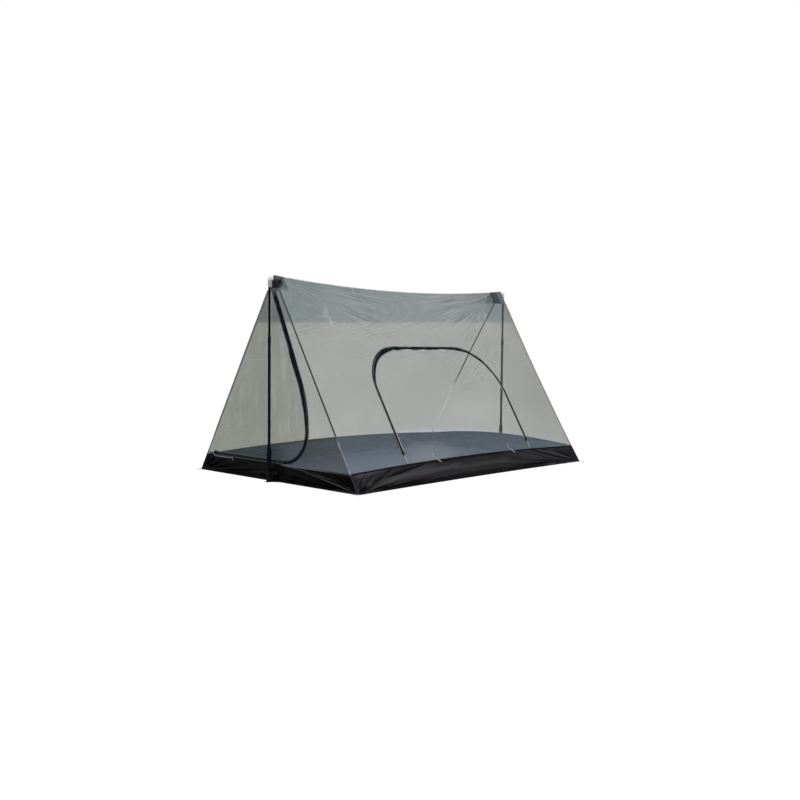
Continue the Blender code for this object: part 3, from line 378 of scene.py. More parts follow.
frontFolds = [
    (0.07, 0.104, 0.30, 0.090, 0.005, 0.9, (0.045, 0.049, 0.050)),
    (0.25, 0.093, 0.71, 0.012, 0.0045, 0.9, (0.050, 0.052, 0.055)),
    (0.36, 0.084, 0.69, 0.030, 0.004, 0.6, (0.040, 0.042, 0.045)),
    (0.52, 0.006, 0.74, 0.006, 0.014, 0.7, (0.030, 0.029, 0.028)),
    (-0.72, 0.014, -0.44, 0.026, 0.010, 0.7, (0.024, 0.024, 0.024)),
]
addPaints(coatedPaint, {
    "tub": {"color": (0.0150, 0.0142, 0.0158), "dust": (0.026, 0.024, 0.028), "gloss": (0.060, 0.056, 0.064)},
    # the right wall's cloth carries painted fold highlights and painted shade
    "tubRight": {
        "color": (0.0165, 0.0156, 0.0172), "dust": (0.028, 0.026, 0.030), "gloss": (0.066, 0.061, 0.072),
        "folds": rightFolds,
    },
    # a shaded copy of the tub's cloth for the front wall: its near black is painted shade
    "tubFront": {
        "color": (0.0008, 0.0008, 0.0007), "dust": (0.0022, 0.0022, 0.0020), "roughness": 0.5, "shine": 0.03,
        "axis": 0, "folds": frontFolds,
    },
    "floor": {"color": (0.042, 0.050, 0.078), "dust": (0.062, 0.072, 0.105), "roughness": 0.6, "shine": 0.2},
})


# woven tapes and webbings: ribs across, a line of stitches near each edge
tapeLook = {
    "roughness": 0.85, "stitch": 0.004, "seam": (0.00025, 0.0006), "selvage": (0.0058, 0.0078),
    "relief": 0.0005,
}


def tapePaint(
    name, color, thread, width, rib=0.0016, inset=0.0018, selvage=None, turns=(), fade=None, fringe=None,
):
    paint = Paint(name, color, tapeLook["roughness"])
    where = paint.space()
    x, y, z = paint.split(where)
    across, along, _ = paint.split(paint.cloth())
    ribs = (along * (math.tau / rib)).wave() * (across * (math.tau / rib)).wave()
    edge = ((across - width / 2).size() - (width / 2 - inset)).size()
    run = (along * (math.tau / tapeLook["stitch"])).wave()
    stitches = (1.0 - edge.between(*tapeLook["seam"])) * run.between(-0.35, -0.05)
    mottle = paint.noise(where, 60.0, 3.0)
    worn = tuple(min(1.0, part * 1.7 + 0.002) for part in color)
    tone = paint.blend(mottle.between(0.45, 0.8) * 0.5, color, worn)
    if selvage:  # the outer part of the tape lies under the net
        tone = paint.blend(across.between(*tapeLook["selvage"]) * 0.8, tone, selvage)
    if fringe:  # the flap's thinner edges let some light through
        # painted highlights along the flap's thinner edges
        middle, reach, soft, pale = fringe
        edges = (across - middle).size().between(reach, reach + soft)
        tone = paint.blend(edges * paint.noise(where, 21.0, 3.0).between(0.36, 0.56), tone, pale)
    for axis, start, end, other in turns:
        tone = paint.blend((x, y, z)[axis].between(start, end), tone, other)
    paint.feed("Base Color", paint.blend(stitches, tone, thread))
    if fade:  # the inner end is open mesh
        start, end, climb, turn = fade
        reach = y.size() + (z - patchFoot) * climb + x.maths("MINIMUM", x, 0.0) * turn
        paint.feed("Alpha", reach.between(start, end) * 0.7 + 0.3)
    paint.feed("Roughness", tapeLook["roughness"] - stitches * 0.25)
    paint.bump(ribs * 0.4 + stitches * 1.2 + mottle * 0.3, tapeLook["relief"], 0.8)
    return paint.material


zipBlack = {"color": (0.0035, 0.0055, 0.0065), "thread": (0.012, 0.016, 0.020), "width": 0.012}
flapBlack = {"color": (0.0030, 0.0045, 0.0060), "thread": (0.016, 0.022, 0.034), "rib": 0.0012, "inset": 0.003}
narrow = {"width": 0.006, "rib": 0.0008, "inset": 0.0012}
patchWide = {"width": 0.16, "rib": 0.0012, "inset": 0.006}
addPaints(tapePaint, {
    "zipTape": {**zipBlack, "selvage": (0.10, 0.12, 0.12)},
    "zipTapePale": {**zipBlack, "selvage": (0.60, 0.63, 0.60)},
    "flap": {
        **flapBlack, "width": 0.05, "turns": [(2, 1.085, 1.13, (0.055, 0.072, 0.068))],
        "fringe": (0.06, 0.036, 0.018, (0.045, 0.062, 0.080)),
    },
    "archFlap": {**flapBlack, "width": 0.03, "fringe": (0.015, 0.0070, 0.0040, (0.095, 0.125, 0.145))},
    "patchFront": {
        **patchWide, "color": (0.016, 0.016, 0.018), "thread": (0.06, 0.06, 0.065),
        "turns": [(2, 1.180, 1.215, (0.085, 0.087, 0.090)), (2, 1.152, 1.142, (0.13, 0.145, 0.145))],
        "fade": (1.085, 1.112, 0.73, 0.0),
    },
    "patchRear": {
        **patchWide, "color": (0.050, 0.067, 0.073), "thread": (0.08, 0.08, 0.085),
        "turns": [(1, 1.035, 1.050, (0.14, 0.146, 0.15))], "fade": (0.960, 0.985, 0.0, 2.3),
    },
    "gable": {
        "color": (0.019, 0.019, 0.021), "thread": (0.05, 0.05, 0.055),
        "width": 0.1, "rib": 0.0012, "inset": 0.004,
        "turns": [(2, 1.185, 1.21, (0.060, 0.060, 0.062)), (2, 1.150, 1.141, (0.10, 0.115, 0.112))],
    },
    # painted shade where the front pocket's root meets the patch, and a painted highlight along its top
    "pocketFront": {
        "color": (0.30, 0.30, 0.30), "thread": (0.12, 0.12, 0.12), "width": 0.06, "inset": 0.003,
        "turns": [(1, -1.1190, -1.1150, (0.030, 0.030, 0.032)), (2, 1.188, 1.200, (0.72, 0.72, 0.72))],
    },
    "pocketRear": {"color": (0.55, 0.55, 0.54), "thread": (0.25, 0.25, 0.25), "width": 0.06, "inset": 0.003},
    "paleWebbing": {"color": (0.78, 0.78, 0.76), "thread": (0.55, 0.55, 0.54), "width": 0.02, "inset": 0.003},
    "blackWebbing": {"color": (0.006, 0.006, 0.006), "thread": (0.03, 0.03, 0.032), "width": 0.02},
    "greyBand": {**narrow, "color": (0.15, 0.15, 0.155), "thread": (0.10, 0.10, 0.10)},
    "ribbon": {**narrow, "color": (0.34, 0.36, 0.40), "thread": (0.24, 0.25, 0.28)},
    "darkRibbon": {**narrow, "color": (0.035, 0.038, 0.036), "thread": (0.05, 0.05, 0.05)},
})


# bound edges and the rear pole: the tone changes in bands along one axis
seamLook = {"roughness": 0.8, "rib": 0.004, "relief": 0.0006}


def seamPaint(name, color, stops=(), axis=2, fade=None):
    paint = Paint(name, color, seamLook["roughness"])
    where = paint.space()
    place = paint.split(where)[axis]
    across, along, _ = paint.split(paint.cloth())
    run = (along * (math.tau / seamLook["rib"])).wave() * (across * (math.tau / seamLook["rib"])).wave()
    mottle = paint.noise(where, 45.0, 3.0)
    tone = color
    for start, end, other in stops:
        tone = paint.blend(place.between(start, end), tone, other)
    worn = mottle.between(0.4, 0.8) * 0.6 + 0.85
    scaled = paint.node("ShaderNodeVectorMath", {"operation": "SCALE"}, {0: tone, "Scale": worn})
    paint.feed("Base Color", scaled)
    if fade:  # a thinner binding between two heights
        low, high, least = fade
        thin = place.between(low - 0.02, low) * (1.0 - place.between(high - 0.14, high))
        paint.feed("Alpha", 1.0 - thin * (1.0 - least))
    paint.bump(run * 0.4 + mottle, seamLook["relief"], 0.7)
    return paint.material


addPaints(seamPaint, {
    "seamFrontRight": {"color": (0.030, 0.024, 0.034), "stops": [
        (0.095, 0.12, (0.20, 0.225, 0.265)), (0.24, 0.33, (0.020, 0.026, 0.026)),
        (0.76, 0.92, (0.040, 0.055, 0.055)),
    ]},
    "seamFrontLeft": {"color": (0.004, 0.004, 0.004), "stops": [(0.10, 0.16, (0.135, 0.138, 0.134))]},
    "seamRearLeft": {
        "color": (0.006, 0.006, 0.006), "fade": (0.14, 0.61, 0.12),
        "stops": [(0.11, 0.13, (0.50, 0.53, 0.48)), (0.49, 0.61, (0.024, 0.034, 0.031))],
    },
    "seamRearRight": {"color": (0.01, 0.01, 0.01), "stops": [(0.10, 0.16, (0.27, 0.27, 0.245))]},
    "binding": {"color": (0.004, 0.004, 0.005)},
    "bindingFront": {"color": (0.0015, 0.0016, 0.0018), "axis": 0, "stops": [
        (0.05, 0.12, (0.095, 0.10, 0.125)), (0.30, 0.55, (0.035, 0.038, 0.050)),
    ]},
    "ridge": {"color": (0.58, 0.62, 0.64)},
    "rearTube": {"color": (0.002, 0.002, 0.002), "stops": [
        (0.40, 0.50, (0.016, 0.017, 0.016)), (0.58, 0.70, (0.095, 0.095, 0.092)),
    ]},
})


# painted and moulded hard pieces
def tubePaint(name, color, worn):
    paint = Paint(name, color, 0.35)
    where = paint.space()
    x, y, z = paint.split(where)
    long = paint.join(x * 400.0, y * 400.0, z * 9.0)
    scratches = paint.noise(long, 1.0, 3.0, 0.7).between(0.66, 0.8)
    smudges = paint.noise(where, 24.0, 3.0)
    paint.feed("Base Color", paint.blend(scratches * 0.5, color, worn))
    paint.feed("Roughness", 0.27 + smudges.between(0.4, 0.8) * 0.2 + scratches * 0.15)
    paint.bump(scratches, 0.0002, 0.3)
    return paint.material


def mouldedPaint(name, color, pale, roughness, grain, depth):
    paint = Paint(name, color, roughness)
    where = paint.space()
    pores = paint.noise(where, grain, 2.0, 0.6)
    dust = paint.noise(where, 55.0, 4.0)
    paint.feed("Base Color", paint.blend(dust.between(0.5, 0.85) * 0.5, color, pale))
    paint.feed("Roughness", roughness + (dust - 0.5) * 0.25)
    paint.bump(pores, depth, 0.5)
    return paint.material


addPaints(tubePaint, {
    "tube": {"color": (0.0010, 0.0014, 0.0012), "worn": (0.02, 0.02, 0.02)},
    "slider": {"color": (0.010, 0.010, 0.011), "worn": (0.18, 0.18, 0.19)},
    "puller": {"color": (0.20, 0.20, 0.21), "worn": (0.45, 0.45, 0.46)},
})
plain = {"grain": 500.0, "depth": 0.0001}
addPaints(mouldedPaint, {
    "coil": {
        "color": (0.006, 0.007, 0.008), "pale": (0.02, 0.02, 0.022), "roughness": 0.45, "grain": 900.0,
        "depth": 0.0002,
    },
    "foam": {
        "color": (0.0020, 0.0032, 0.0042), "pale": (0.006, 0.008, 0.010), "roughness": 0.9, "grain": 700.0,
        "depth": 0.0006,
    },
    "rubber": {
        "color": (0.005, 0.005, 0.005), "pale": (0.02, 0.019, 0.017), "roughness": 0.75, "grain": 300.0,
        "depth": 0.0003,
    },
    "plastic": {**plain, "color": (0.005, 0.006, 0.006), "pale": (0.015, 0.015, 0.015), "roughness": 0.38},
    "palePlastic": {**plain, "color": (0.25, 0.26, 0.29), "pale": (0.20, 0.20, 0.22), "roughness": 0.4},
})
print("materials ready:", len(paints))


# shaping tools
def alone(piece=None):
    bpy.ops.object.select_all(action="DESELECT")
    if piece:
        piece.select_set(True)
        bpy.context.view_layer.objects.active = piece


def finishPiece(piece, paint, body, replaces=()):
    alone(piece)
    for modifier in list(piece.modifiers):
        bpy.ops.object.modifier_apply(modifier=modifier.name)
    piece.data.materials.clear()
    piece.data.materials.append(paints[paint])
    bpy.ops.object.shade_smooth_by_angle(angle=math.radians(42))
    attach(piece, body)
    if replaces:
        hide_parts(*replaces)
    return piece


def clothGrid(name, place, columns, rows, size):
    # a flat grid, with each point then laid where the cloth runs; its map is in metres of cloth
    alone()
    bpy.ops.mesh.primitive_grid_add(x_subdivisions=columns, y_subdivisions=rows, size=2)
    piece = bpy.context.object
    piece.name = name
    grid = piece.data
    shares = [((point.co.x + 1) / 2, (point.co.y + 1) / 2) for point in grid.vertices]
    for point, (across, along) in zip(grid.vertices, shares):
        point.co = place(across, along)
    cloth = grid.uv_layers[0]
    cloth.name = "cloth"
    for loop in grid.loops:
        across, along = shares[loop.vertex_index]
        cloth.uv[loop.index].vector = (across * size[0], along * size[1])
    return piece


def profileGrid(name, place, around, profile, size):
    # a grid whose rows follow the points of a profile; place gets the share across and the row's point
    last = len(profile) - 1

    def at(across, along):
        return place(across, profile[round(along * last)])
    return clothGrid(name, at, around, last, size)


def faceOut(piece, merge=0.00002, capped=False):
    alone(piece)
    bpy.ops.object.mode_set(mode="EDIT")
    bpy.ops.mesh.select_all(action="SELECT")
    bpy.ops.mesh.remove_doubles(threshold=merge)
    if capped:  # a face closes each open end
        bpy.ops.mesh.select_all(action="DESELECT")
        bpy.ops.mesh.select_non_manifold()
        bpy.ops.mesh.edge_face_add()
        bpy.ops.mesh.select_all(action="SELECT")
    bpy.ops.mesh.normals_make_consistent(inside=False)
    bpy.ops.object.mode_set(mode="OBJECT")


def thicken(piece, thickness, offset=0.0):
    solidify = piece.modifiers.new("thickness", "SOLIDIFY")
    solidify.thickness = thickness
    solidify.offset = offset
    return piece


def pathLengths(path):
    total = 0.0
    lengths = [0.0]
    for before, after in zip(path, path[1:]):
        total += (Vector(after) - Vector(before)).length
        lengths.append(total)
    return lengths


def evenPoints(path, count):
    # the same line with its points at an even spacing
    points = [Vector(point) for point in path]
    lengths = pathLengths(points)
    even = []
    index = 0
    for step in range(count + 1):
        goal = lengths[-1] * step / count
        while index < len(points) - 2 and lengths[index + 1] < goal:
            index += 1
        share = (goal - lengths[index]) / max(lengths[index + 1] - lengths[index], 1e-9)
        even.append(points[index].lerp(points[index + 1], share))
    return even


def smoothPath(path, count):
    points = [Vector(point) for point in path]
    for _ in range(3):
        softer = [(last + here * 2 + coming) / 4 for last, here, coming in zip(points, points[1:], points[2:])]
        points = [points[0], *softer, points[-1]]
    return evenPoints(points, count)


def sweep(name, path, out, halfWide, halfThick, around=12, square=1.0):
    # a tape or cord along a path: its width lies across the path, and its thickness along out
    path = [Vector(point) for point in path]
    last = len(path) - 1
    out = Vector(out).normalized()

    def wide(share):
        return halfWide(share) if callable(halfWide) else halfWide

    def rim(turned, along):
        index = round(along * last)
        heading = (path[min(index + 1, last)] - path[max(index - 1, 0)]).normalized()
        across = heading.cross(out).normalized()
        side, rise = math.cos(turned * math.tau), math.sin(turned * math.tau)
        side = math.copysign(abs(side) ** square, side) * wide(index / last)
        rise = math.copysign(abs(rise) ** square, rise) * halfThick
        return path[index] + across * side + across.cross(heading) * rise

    piece = clothGrid(name, rim, around, last, (wide(0.5) * 4, pathLengths(path)[-1]))
    faceOut(piece, capped=True)
    return piece


def slab(outline, lay, depth):
    # a closed block over an outline, to cut cloth with
    alone()
    bpy.ops.mesh.primitive_circle_add(vertices=len(outline), fill_type="NGON")
    piece = bpy.context.object
    for point, (across, along) in zip(piece.data.vertices, outline):
        point.co = lay(across, along, -depth)
    bpy.ops.object.mode_set(mode="EDIT")
    bpy.ops.mesh.select_all(action="SELECT")
    push = lay(0, 0, depth) - lay(0, 0, -depth)
    bpy.ops.mesh.extrude_region_move(TRANSFORM_OT_translate={"value": push})
    bpy.ops.mesh.select_all(action="SELECT")
    bpy.ops.mesh.normals_make_consistent(inside=False)
    bpy.ops.object.mode_set(mode="OBJECT")
    return piece


def cut(piece, cutter, operation):
    boolean = piece.modifiers.new("cut", "BOOLEAN")
    boolean.operation = operation
    boolean.object = cutter
    alone(piece)
    bpy.ops.object.modifier_apply(modifier="cut")
    bpy.data.objects.remove(cutter)


# lines that the cloth follows
def mix(start, end, share):
    return start + (end - start) * share


def smooth(share):
    share = min(max(share, 0.0), 1.0)
    return share * share * (3 - 2 * share)


def hump(share):
    return 4 * share * (1 - share)


def slopeX(up):
    return halfWidth * (1 - up / height)


def rearY(up):
    return halfLength - tent["rearBow"] * hump(up / height)


outwards = {"front": -1, "rear": 1}
sides = {"left": -1, "right": 1}


def wallY(end, up):
    return rearY(up) if end == "rear" else -halfLength


def seamEdge(up):  # half the width of an end wall between its corner seams
    return slopeX(up) - tent["inset"] / leanCos


def ridgeZ(along):
    return height - tent["ridgeSag"] * (1 - (along / halfLength) ** 2)


def tubTop(side, share):
    return tent["tubTop"] + tent["tubRise"][side] * hump(share)


def endY(up, share):
    return mix(-halfLength + tent["inset"], rearY(up) - tent["inset"], share)


def crowd(share):  # columns stand closer towards both ends
    return share - math.sin(math.tau * share) * 0.6 / math.tau


def frontLay(across, up, out=0.0):
    return Vector((across, -halfLength - out, up))


def slopeLay(along, up, out=0.0):
    return Vector((halfWidth - leanSin * up + leanCos * out, along, leanCos * up + leanSin * out))


def arcPoints(centre, radius, start, end, steps):
    turns = [math.radians(mix(start, end, step / steps)) for step in range(steps + 1)]
    return [(centre[0] + radius * math.cos(turn), centre[1] + radius * math.sin(turn)) for turn in turns]


def offsetPath(path, distance):
    moved = []
    for index, point in enumerate(path):
        here = Vector(point)
        runs = [here - Vector(path[max(index - 1, 0)]), Vector(path[min(index + 1, len(path) - 1)]) - here]
        normals = [Vector((-run.y, run.x)).normalized() for run in runs if run.length > 0]
        normal = sum(normals, Vector((0.0, 0.0))).normalized()
        moved.append(tuple(here + normal * (distance / normal.dot(normals[0]))))
    return moved


def spreadPath(path, spacing):
    return evenPoints(path, max(2, round(pathLengths(path)[-1] / spacing)))


# zips
zips = {
    "gap": 0.002, "tape": 0.012, "bead": 0.002, "coilThick": 0.0012, "lift": 0.0003, "park": 0.028,
    "step": 0.012, "turnSteps": 24, "clothThick": 0.0006,
    "front": {"reach": 0.306, "top": 0.0068, "shoulder": 0.7003, "corner": 0.2, "end": 0.590},
    "side": {
        "front": 0.625, "rear": 0.600, "top": 0.925, "sill": 0.2, "frontRadius": 0.28, "rearRadius": 0.36,
    },
}
tapeEdge = zips["gap"] / 2 + zips["tape"]
netEdge = tapeEdge + tent["gap"]
patchEdge = patchFoot - 0.001 - tent["gap"]
railUp = tent["tubTop"] + tent["inset"] + tapeEdge


def frontZip(leftEnd, distance):
    size, steps = zips["front"], zips["turnSteps"]
    radius = size["corner"]
    corner = arcPoints((size["reach"] - radius, railUp + radius), radius, 0, -90, steps)
    top = Vector((size["top"], patchEdge))
    centre = Vector((size["reach"] - size["shoulder"], railUp + radius))
    run = top - centre
    turn = math.atan2(run.y, run.x) - math.acos(size["shoulder"] / run.length)
    shoulder = arcPoints(centre, size["shoulder"], math.degrees(turn), 0, steps)
    edge = offsetPath([tuple(top)] + shoulder + corner[1:] + [(-leftEnd, railUp)], distance)
    edge[0] = (size["top"] + distance / math.cos(turn), patchEdge)
    return edge


def sideZip(sill, distance):
    size, steps = zips["side"], zips["turnSteps"]
    front, rear = size["frontRadius"], size["rearRadius"]
    arch = arcPoints((front - size["front"], size["top"] - front), front, 180, 90, steps)
    arch += arcPoints((size["rear"] - rear, size["top"] - rear), rear, 90, 0, steps)
    return offsetPath([(-size["front"], sill)] + arch + [(size["rear"], sill)], distance)


# net slopes: sagging under the ridge, with fans of creases from both apexes
slopeNet = {
    "columns": 150, "rows": 70, "area": {"left": 2.75, "right": 1.86},
    "crease": 0.006, "reach": 0.95, "near": 0.12, "ribs": 34, "loose": 0.004,
    "ramp": 0.70, "hem": 0.05, "end": 0.04,
}


def fanCrease(start, drop, seed):
    angle = math.atan2(drop, start)
    reach = math.hypot(drop, start)
    fade = (1 - smooth(reach / slopeNet["reach"])) * smooth(reach / slopeNet["near"])
    fade *= 1 - smooth((angle - 0.3) / 0.5)
    phase = angle * slopeNet["ribs"] + seed + 2 * math.sin(angle * 9 + seed)
    return slopeNet["crease"] * fade * math.sin(phase)


def slopeCloth(side):
    sign = sides[side]

    def place(across, up):
        share = crowd(across)
        rising = 1 - (1 - up) ** 1.3
        topY = endY(height, share)
        foot = tubTop(side, share) + tent["inset"] * leanCos
        top = ridgeZ(topY) - tent["inset"] * leanCos
        z = mix(foot, top, rising)
        y = endY(z, share)
        drawn = slopeX(ridgeZ(topY)) * smooth((rising - slopeNet["ramp"]) / (1 - slopeNet["ramp"]))
        drop = height - z
        free = smooth(share / slopeNet["end"]) * smooth((1 - share) / slopeNet["end"])
        free *= smooth((1 - rising) / slopeNet["hem"]) * smooth(rising / slopeNet["hem"])
        high = smooth((rising - slopeNet["ramp"] - 0.02) / 0.1)
        out = fanCrease(y + halfLength, drop, 0.4 * sign) + fanCrease(halfLength - y, drop, 1.7)
        out += slopeNet["loose"] * noise.noise(Vector((y * 3.1, z * 2.2, sign * 4.0)))
        out *= free * high
        return Vector((sign * (slopeX(z) - drawn + out * leanCos), y, z + out * leanSin))
    return place


def makeSlopes():
    for side in sides:
        piece = clothGrid(
            "slope" + side.capitalize(), slopeCloth(side), slopeNet["columns"], slopeNet["rows"], (2.2, 1.27),
        )
        if side == "right":
            hole = offsetPath(sideZip(zips["side"]["sill"] - tent["gap"] / 2, 0.0), netEdge)
            around = slab([(-1.2, -0.1), (-1.2, 1.6), (1.2, 1.6), (1.2, -0.1)], slopeLay, 0.06)
            cut(around, slab(hole, slopeLay, 0.1), "DIFFERENCE")
            cut(piece, around, "INTERSECT")
        finishPiece(piece, "net" + side.capitalize(), "tent", ["net_" + side])


makeSlopes()


def edgeDistance(x, y, outline):
    spot = Vector((x, y))
    least = 1.0
    for first, last in zip(outline, outline[1:] + outline[:1]):
        start, run = Vector(first), Vector(last) - Vector(first)
        share = min(max((spot - start).dot(run) / max(run.length_squared, 1e-12), 0.0), 1.0)
        least = min(least, (spot - start - run * share).length)
    return least


def doorCloth(name, outline, lay, paint, body, replaces, loose=0.0):
    # a net panel of any outline: a grid over the outline's box, cut to the outline
    cell, margin = 0.02, 0.005
    low = [min(point[axis] for point in outline) for axis in (0, 1)]
    high = [max(point[axis] for point in outline) for axis in (0, 1)]
    counts = [max(2, round((high[axis] - low[axis] + 2 * margin) / cell)) for axis in (0, 1)]

    def place(across, along):
        x = mix(low[0] - margin, high[0] + margin, across)
        y = mix(low[1] - margin, high[1] + margin, along)
        slack = loose * smooth(edgeDistance(x, y, outline) / 0.15) if loose else 0.0
        ripple = slack * noise.noise(Vector((x * 4, y * 2.5, loose * 900)))
        return lay(x, y, ripple)

    piece = clothGrid(name, place, counts[0], counts[1], (high[0] - low[0], high[1] - low[1]))
    cut(piece, slab(outline, lay, 0.05), "INTERSECT")
    finishPiece(piece, paint, body, replaces)


def hingeEdge(up):
    return -slopeX(up) + 0.020 / leanCos


def makeFrontWall():
    foot = tent["tubTop"] + tent["inset"]
    end = zips["front"]["end"]
    gap = tent["gap"] / 2 / leanCos
    outer = [point for point in frontZip(end, netEdge) if point[1] > foot + tent["gap"]]
    right = [(outer[0][0], patchEdge), (seamEdge(patchEdge), patchEdge), (seamEdge(foot), foot)]
    right += [(outer[-1][0], foot)] + outer[:0:-1]
    doorCloth(
        "frontNetRight", right, frontLay, "netCorner", "tent", ["net_front_right"], 0.004,
    )
    doorFoot = foot + tapeEdge + zips["gap"] / 2 + zips["tape"] + tent["gap"]
    stripTop = doorFoot - tent["gap"]
    strip = [
        (-seamEdge(foot), foot), (-end - tent["gap"], foot), (-end - tent["gap"], stripTop),
        (hingeEdge(doorFoot) - gap, stripTop), (hingeEdge(patchEdge) - gap, patchEdge),
        (-seamEdge(patchEdge), patchEdge),
    ]
    doorCloth("frontNetLeft", strip, frontLay, "netFront", "tent", ["net_front_left"])
    door = [(hingeEdge(patchEdge) + gap, patchEdge), (hingeEdge(doorFoot) + gap, doorFoot)]
    door += [point for point in reversed(frontZip(end, -netEdge)) if point[0] > -end]
    doorCloth(
        "frontDoorNet", door, frontLay, "netFront", "front_door", ["front_door_net"], 0.006,
    )
    door = sideZip(zips["side"]["sill"] + tent["gap"] / 2, -netEdge)
    doorCloth(
        "sideDoorNet", door, slopeLay, "netDoor", "side_door", ["side_door_net"], 0.005,
    )


makeFrontWall()


def rearCloth(across, up):
    z = mix(tubTop("rear", across) + tent["inset"], patchEdge, up)
    x = mix(-seamEdge(z), seamEdge(z), across)
    ripple = 0.004 * hump(across) * hump(up) * noise.noise(Vector((x * 4, 3.0, z * 2)))
    return Vector((x, rearY(z) + ripple, z))


rearNet = clothGrid("rearNet", rearCloth, 60, 56, (1.3, 1.0))
finishPiece(rearNet, "netRear", "tent", ["net_rear"])
print("nets hung")


# tub walls: pulled tight at their ground corners, so that folds run out of these along the wall
tubCloth = {
    "thick": 0.0008, "foot": 0.0016, "rows": 26, "high": 0.13,
    "fold": 0.011, "ratio": 1.42, "near": 0.05, "far": 1.25, "before": 0.02, "least": 0.0008,
    "soft": 0.004, "endHigh": 0.11, "ground": 0.0006,
}


def wallFolds(distance, share, wallHeight, seed):
    # folds fan out of the corner at distance 0, wider apart the further they run
    rise = max(share * wallHeight, tubCloth["least"])
    turn = math.log(rise / (distance + tubCloth["before"])) / math.log(tubCloth["ratio"])
    wave = math.sin(math.pi * turn + seed)
    ridge = math.copysign(abs(wave) ** 0.7, wave)
    fade = smooth(distance / tubCloth["near"]) * (1 - smooth(distance / tubCloth["far"]))
    return tubCloth["fold"] * fade * ridge * smooth(share * 5) * smooth((1 - share) * 3.5) * 0.8


def sideWall(side):
    sign = sides[side]
    long = tent["length"]
    foot = tubCloth["foot"]

    def place(across, up):
        share = crowd(across)
        top = tubTop(side, share) - tent["inset"] * leanCos
        z = mix(foot, top, up)
        y = endY(z, share)
        x = mix(slopeX(foot) - tent["groundBow"] * hump(share), slopeX(top), up)
        out = wallFolds(long * share, up, top, 0.3) + wallFolds(long * (1 - share), up, top, 1.1)
        out += tubCloth["soft"] * hump(up) * noise.noise(Vector((y * 5, z * 12, sign * 2.0)))
        return Vector((sign * (x + out * leanCos), y, z + max(out * leanSin, tubCloth["ground"] - z)))
    return place


def endWall(side):
    wide = tent["width"]
    high = tubCloth["endHigh"]

    def place(across, up):
        share = crowd(across)
        z = mix(tubCloth["foot"], tubTop(side, share) - tent["inset"], up)
        x = mix(-seamEdge(z), seamEdge(z), share)
        out = wallFolds(wide * share, up, high, 0.9) + wallFolds(wide * (1 - share), up, high, 2.0)
        out += tubCloth["soft"] * hump(up) * noise.noise(Vector((x * 5, z * 12, 7.0)))
        return Vector((x, wallY(side, z) + outwards[side] * out, z))
    return place


def makeTub():
    for side, make, columns, paint in (
        ("left", sideWall, 220, "tub"), ("right", sideWall, 260, "tubRight"),
        ("front", endWall, 150, "tubFront"), ("rear", endWall, 150, "tub"),
    ):
        long = tent["width"] if make == endWall else tent["length"]
        size = (long, tubCloth["high"])
        piece = clothGrid("tub" + side.capitalize(), make(side), columns, tubCloth["rows"], size)
        thicken(piece, tubCloth["thick"])
        finishPiece(piece, paint, "tent", ["tub_wall_" + side])
        if side in ("left", "front"):
            piece.data.flip_normals()


makeTub()


floorSize = {"inset": 0.001, "lift": 0.0008, "rise": 0.0035, "wave": 0.004, "corner": 0.7}


def floorCloth(across, along):
    y = mix(-halfLength, halfLength, along)
    reach = halfWidth - tent["groundBow"] * hump(along) - floorSize["inset"]
    x = mix(-reach, reach, across)
    edge = smooth(across * 12) * smooth((1 - across) * 12) * smooth(along * 16) * smooth((1 - along) * 16)
    ripple = noise.noise(Vector((x * 2.3, y * 2.3, 1.0)))
    ripple += 0.5 * noise.noise(Vector((x * 7 + y * 3, y * 5, 5.0)))
    inX, inY = halfWidth - abs(x), halfLength - abs(y)
    near = 1 - min(math.hypot(inX, inY) / floorSize["corner"], 1.0)
    wave = floorSize["wave"] * (ripple + math.sin(math.atan2(inX, inY) * 18) * near * 0.8)
    return Vector((x, y, floorSize["lift"] + edge * max(0.0, floorSize["rise"] + wave)))


floorSheet = thicken(clothGrid("floorSheet", floorCloth, 110, 160, (1.45, 2.2)), tubCloth["thick"])
finishPiece(floorSheet, "floor", "tent", ["floor_sheet"])
print("tub and floor laid")


# seams: bound edges, flattened tapes folded over the cloth's edges
seamSize = {
    "foot": 0.0042, "hidden": 0.0034, "thick": 0.0030, "startWide": 0.0036, "bindWide": 0.0046,
    "ridgeWide": 0.0045, "ridgeEnds": (0.0754, 0.1304), "cornerSteps": 40, "ridgeSteps": 60,
    "corners": {  # half width, and the way the bound edge looks
        ("front", "left"): (0.0090, (-0.25, -1, 0)), ("front", "right"): (0.0042, (leanCos, -1, leanSin)),
        ("rear", "left"): (0.0042, (-leanCos, 1, leanSin)), ("rear", "right"): (0.0066, (leanCos, 0, leanSin)),
    },
}


def stepsBetween(first, last, steps):
    return [mix(first, last, step / steps) for step in range(steps + 1)]


def cornerPath(end, side):
    heights = stepsBetween(seamSize["foot"], patchFoot - seamSize["hidden"], seamSize["cornerSteps"])
    return [Vector((sides[side] * slopeX(z), wallY(end, z), z)) for z in heights]


def ridgePath():
    first, last = -halfLength + seamSize["ridgeEnds"][0], halfLength - seamSize["ridgeEnds"][1]
    return [Vector((0, y, ridgeZ(y))) for y in stepsBetween(first, last, seamSize["ridgeSteps"])]


def sideEdge(side, share):
    z = tubTop(side, share)
    return Vector((sides[side] * slopeX(z), endY(z, share), z))


def endEdge(side, share):
    share = mix(0.002, 0.998, share)
    z = tubTop(side, share)
    return Vector((mix(-seamEdge(z), seamEdge(z), share), wallY(side, z), z))


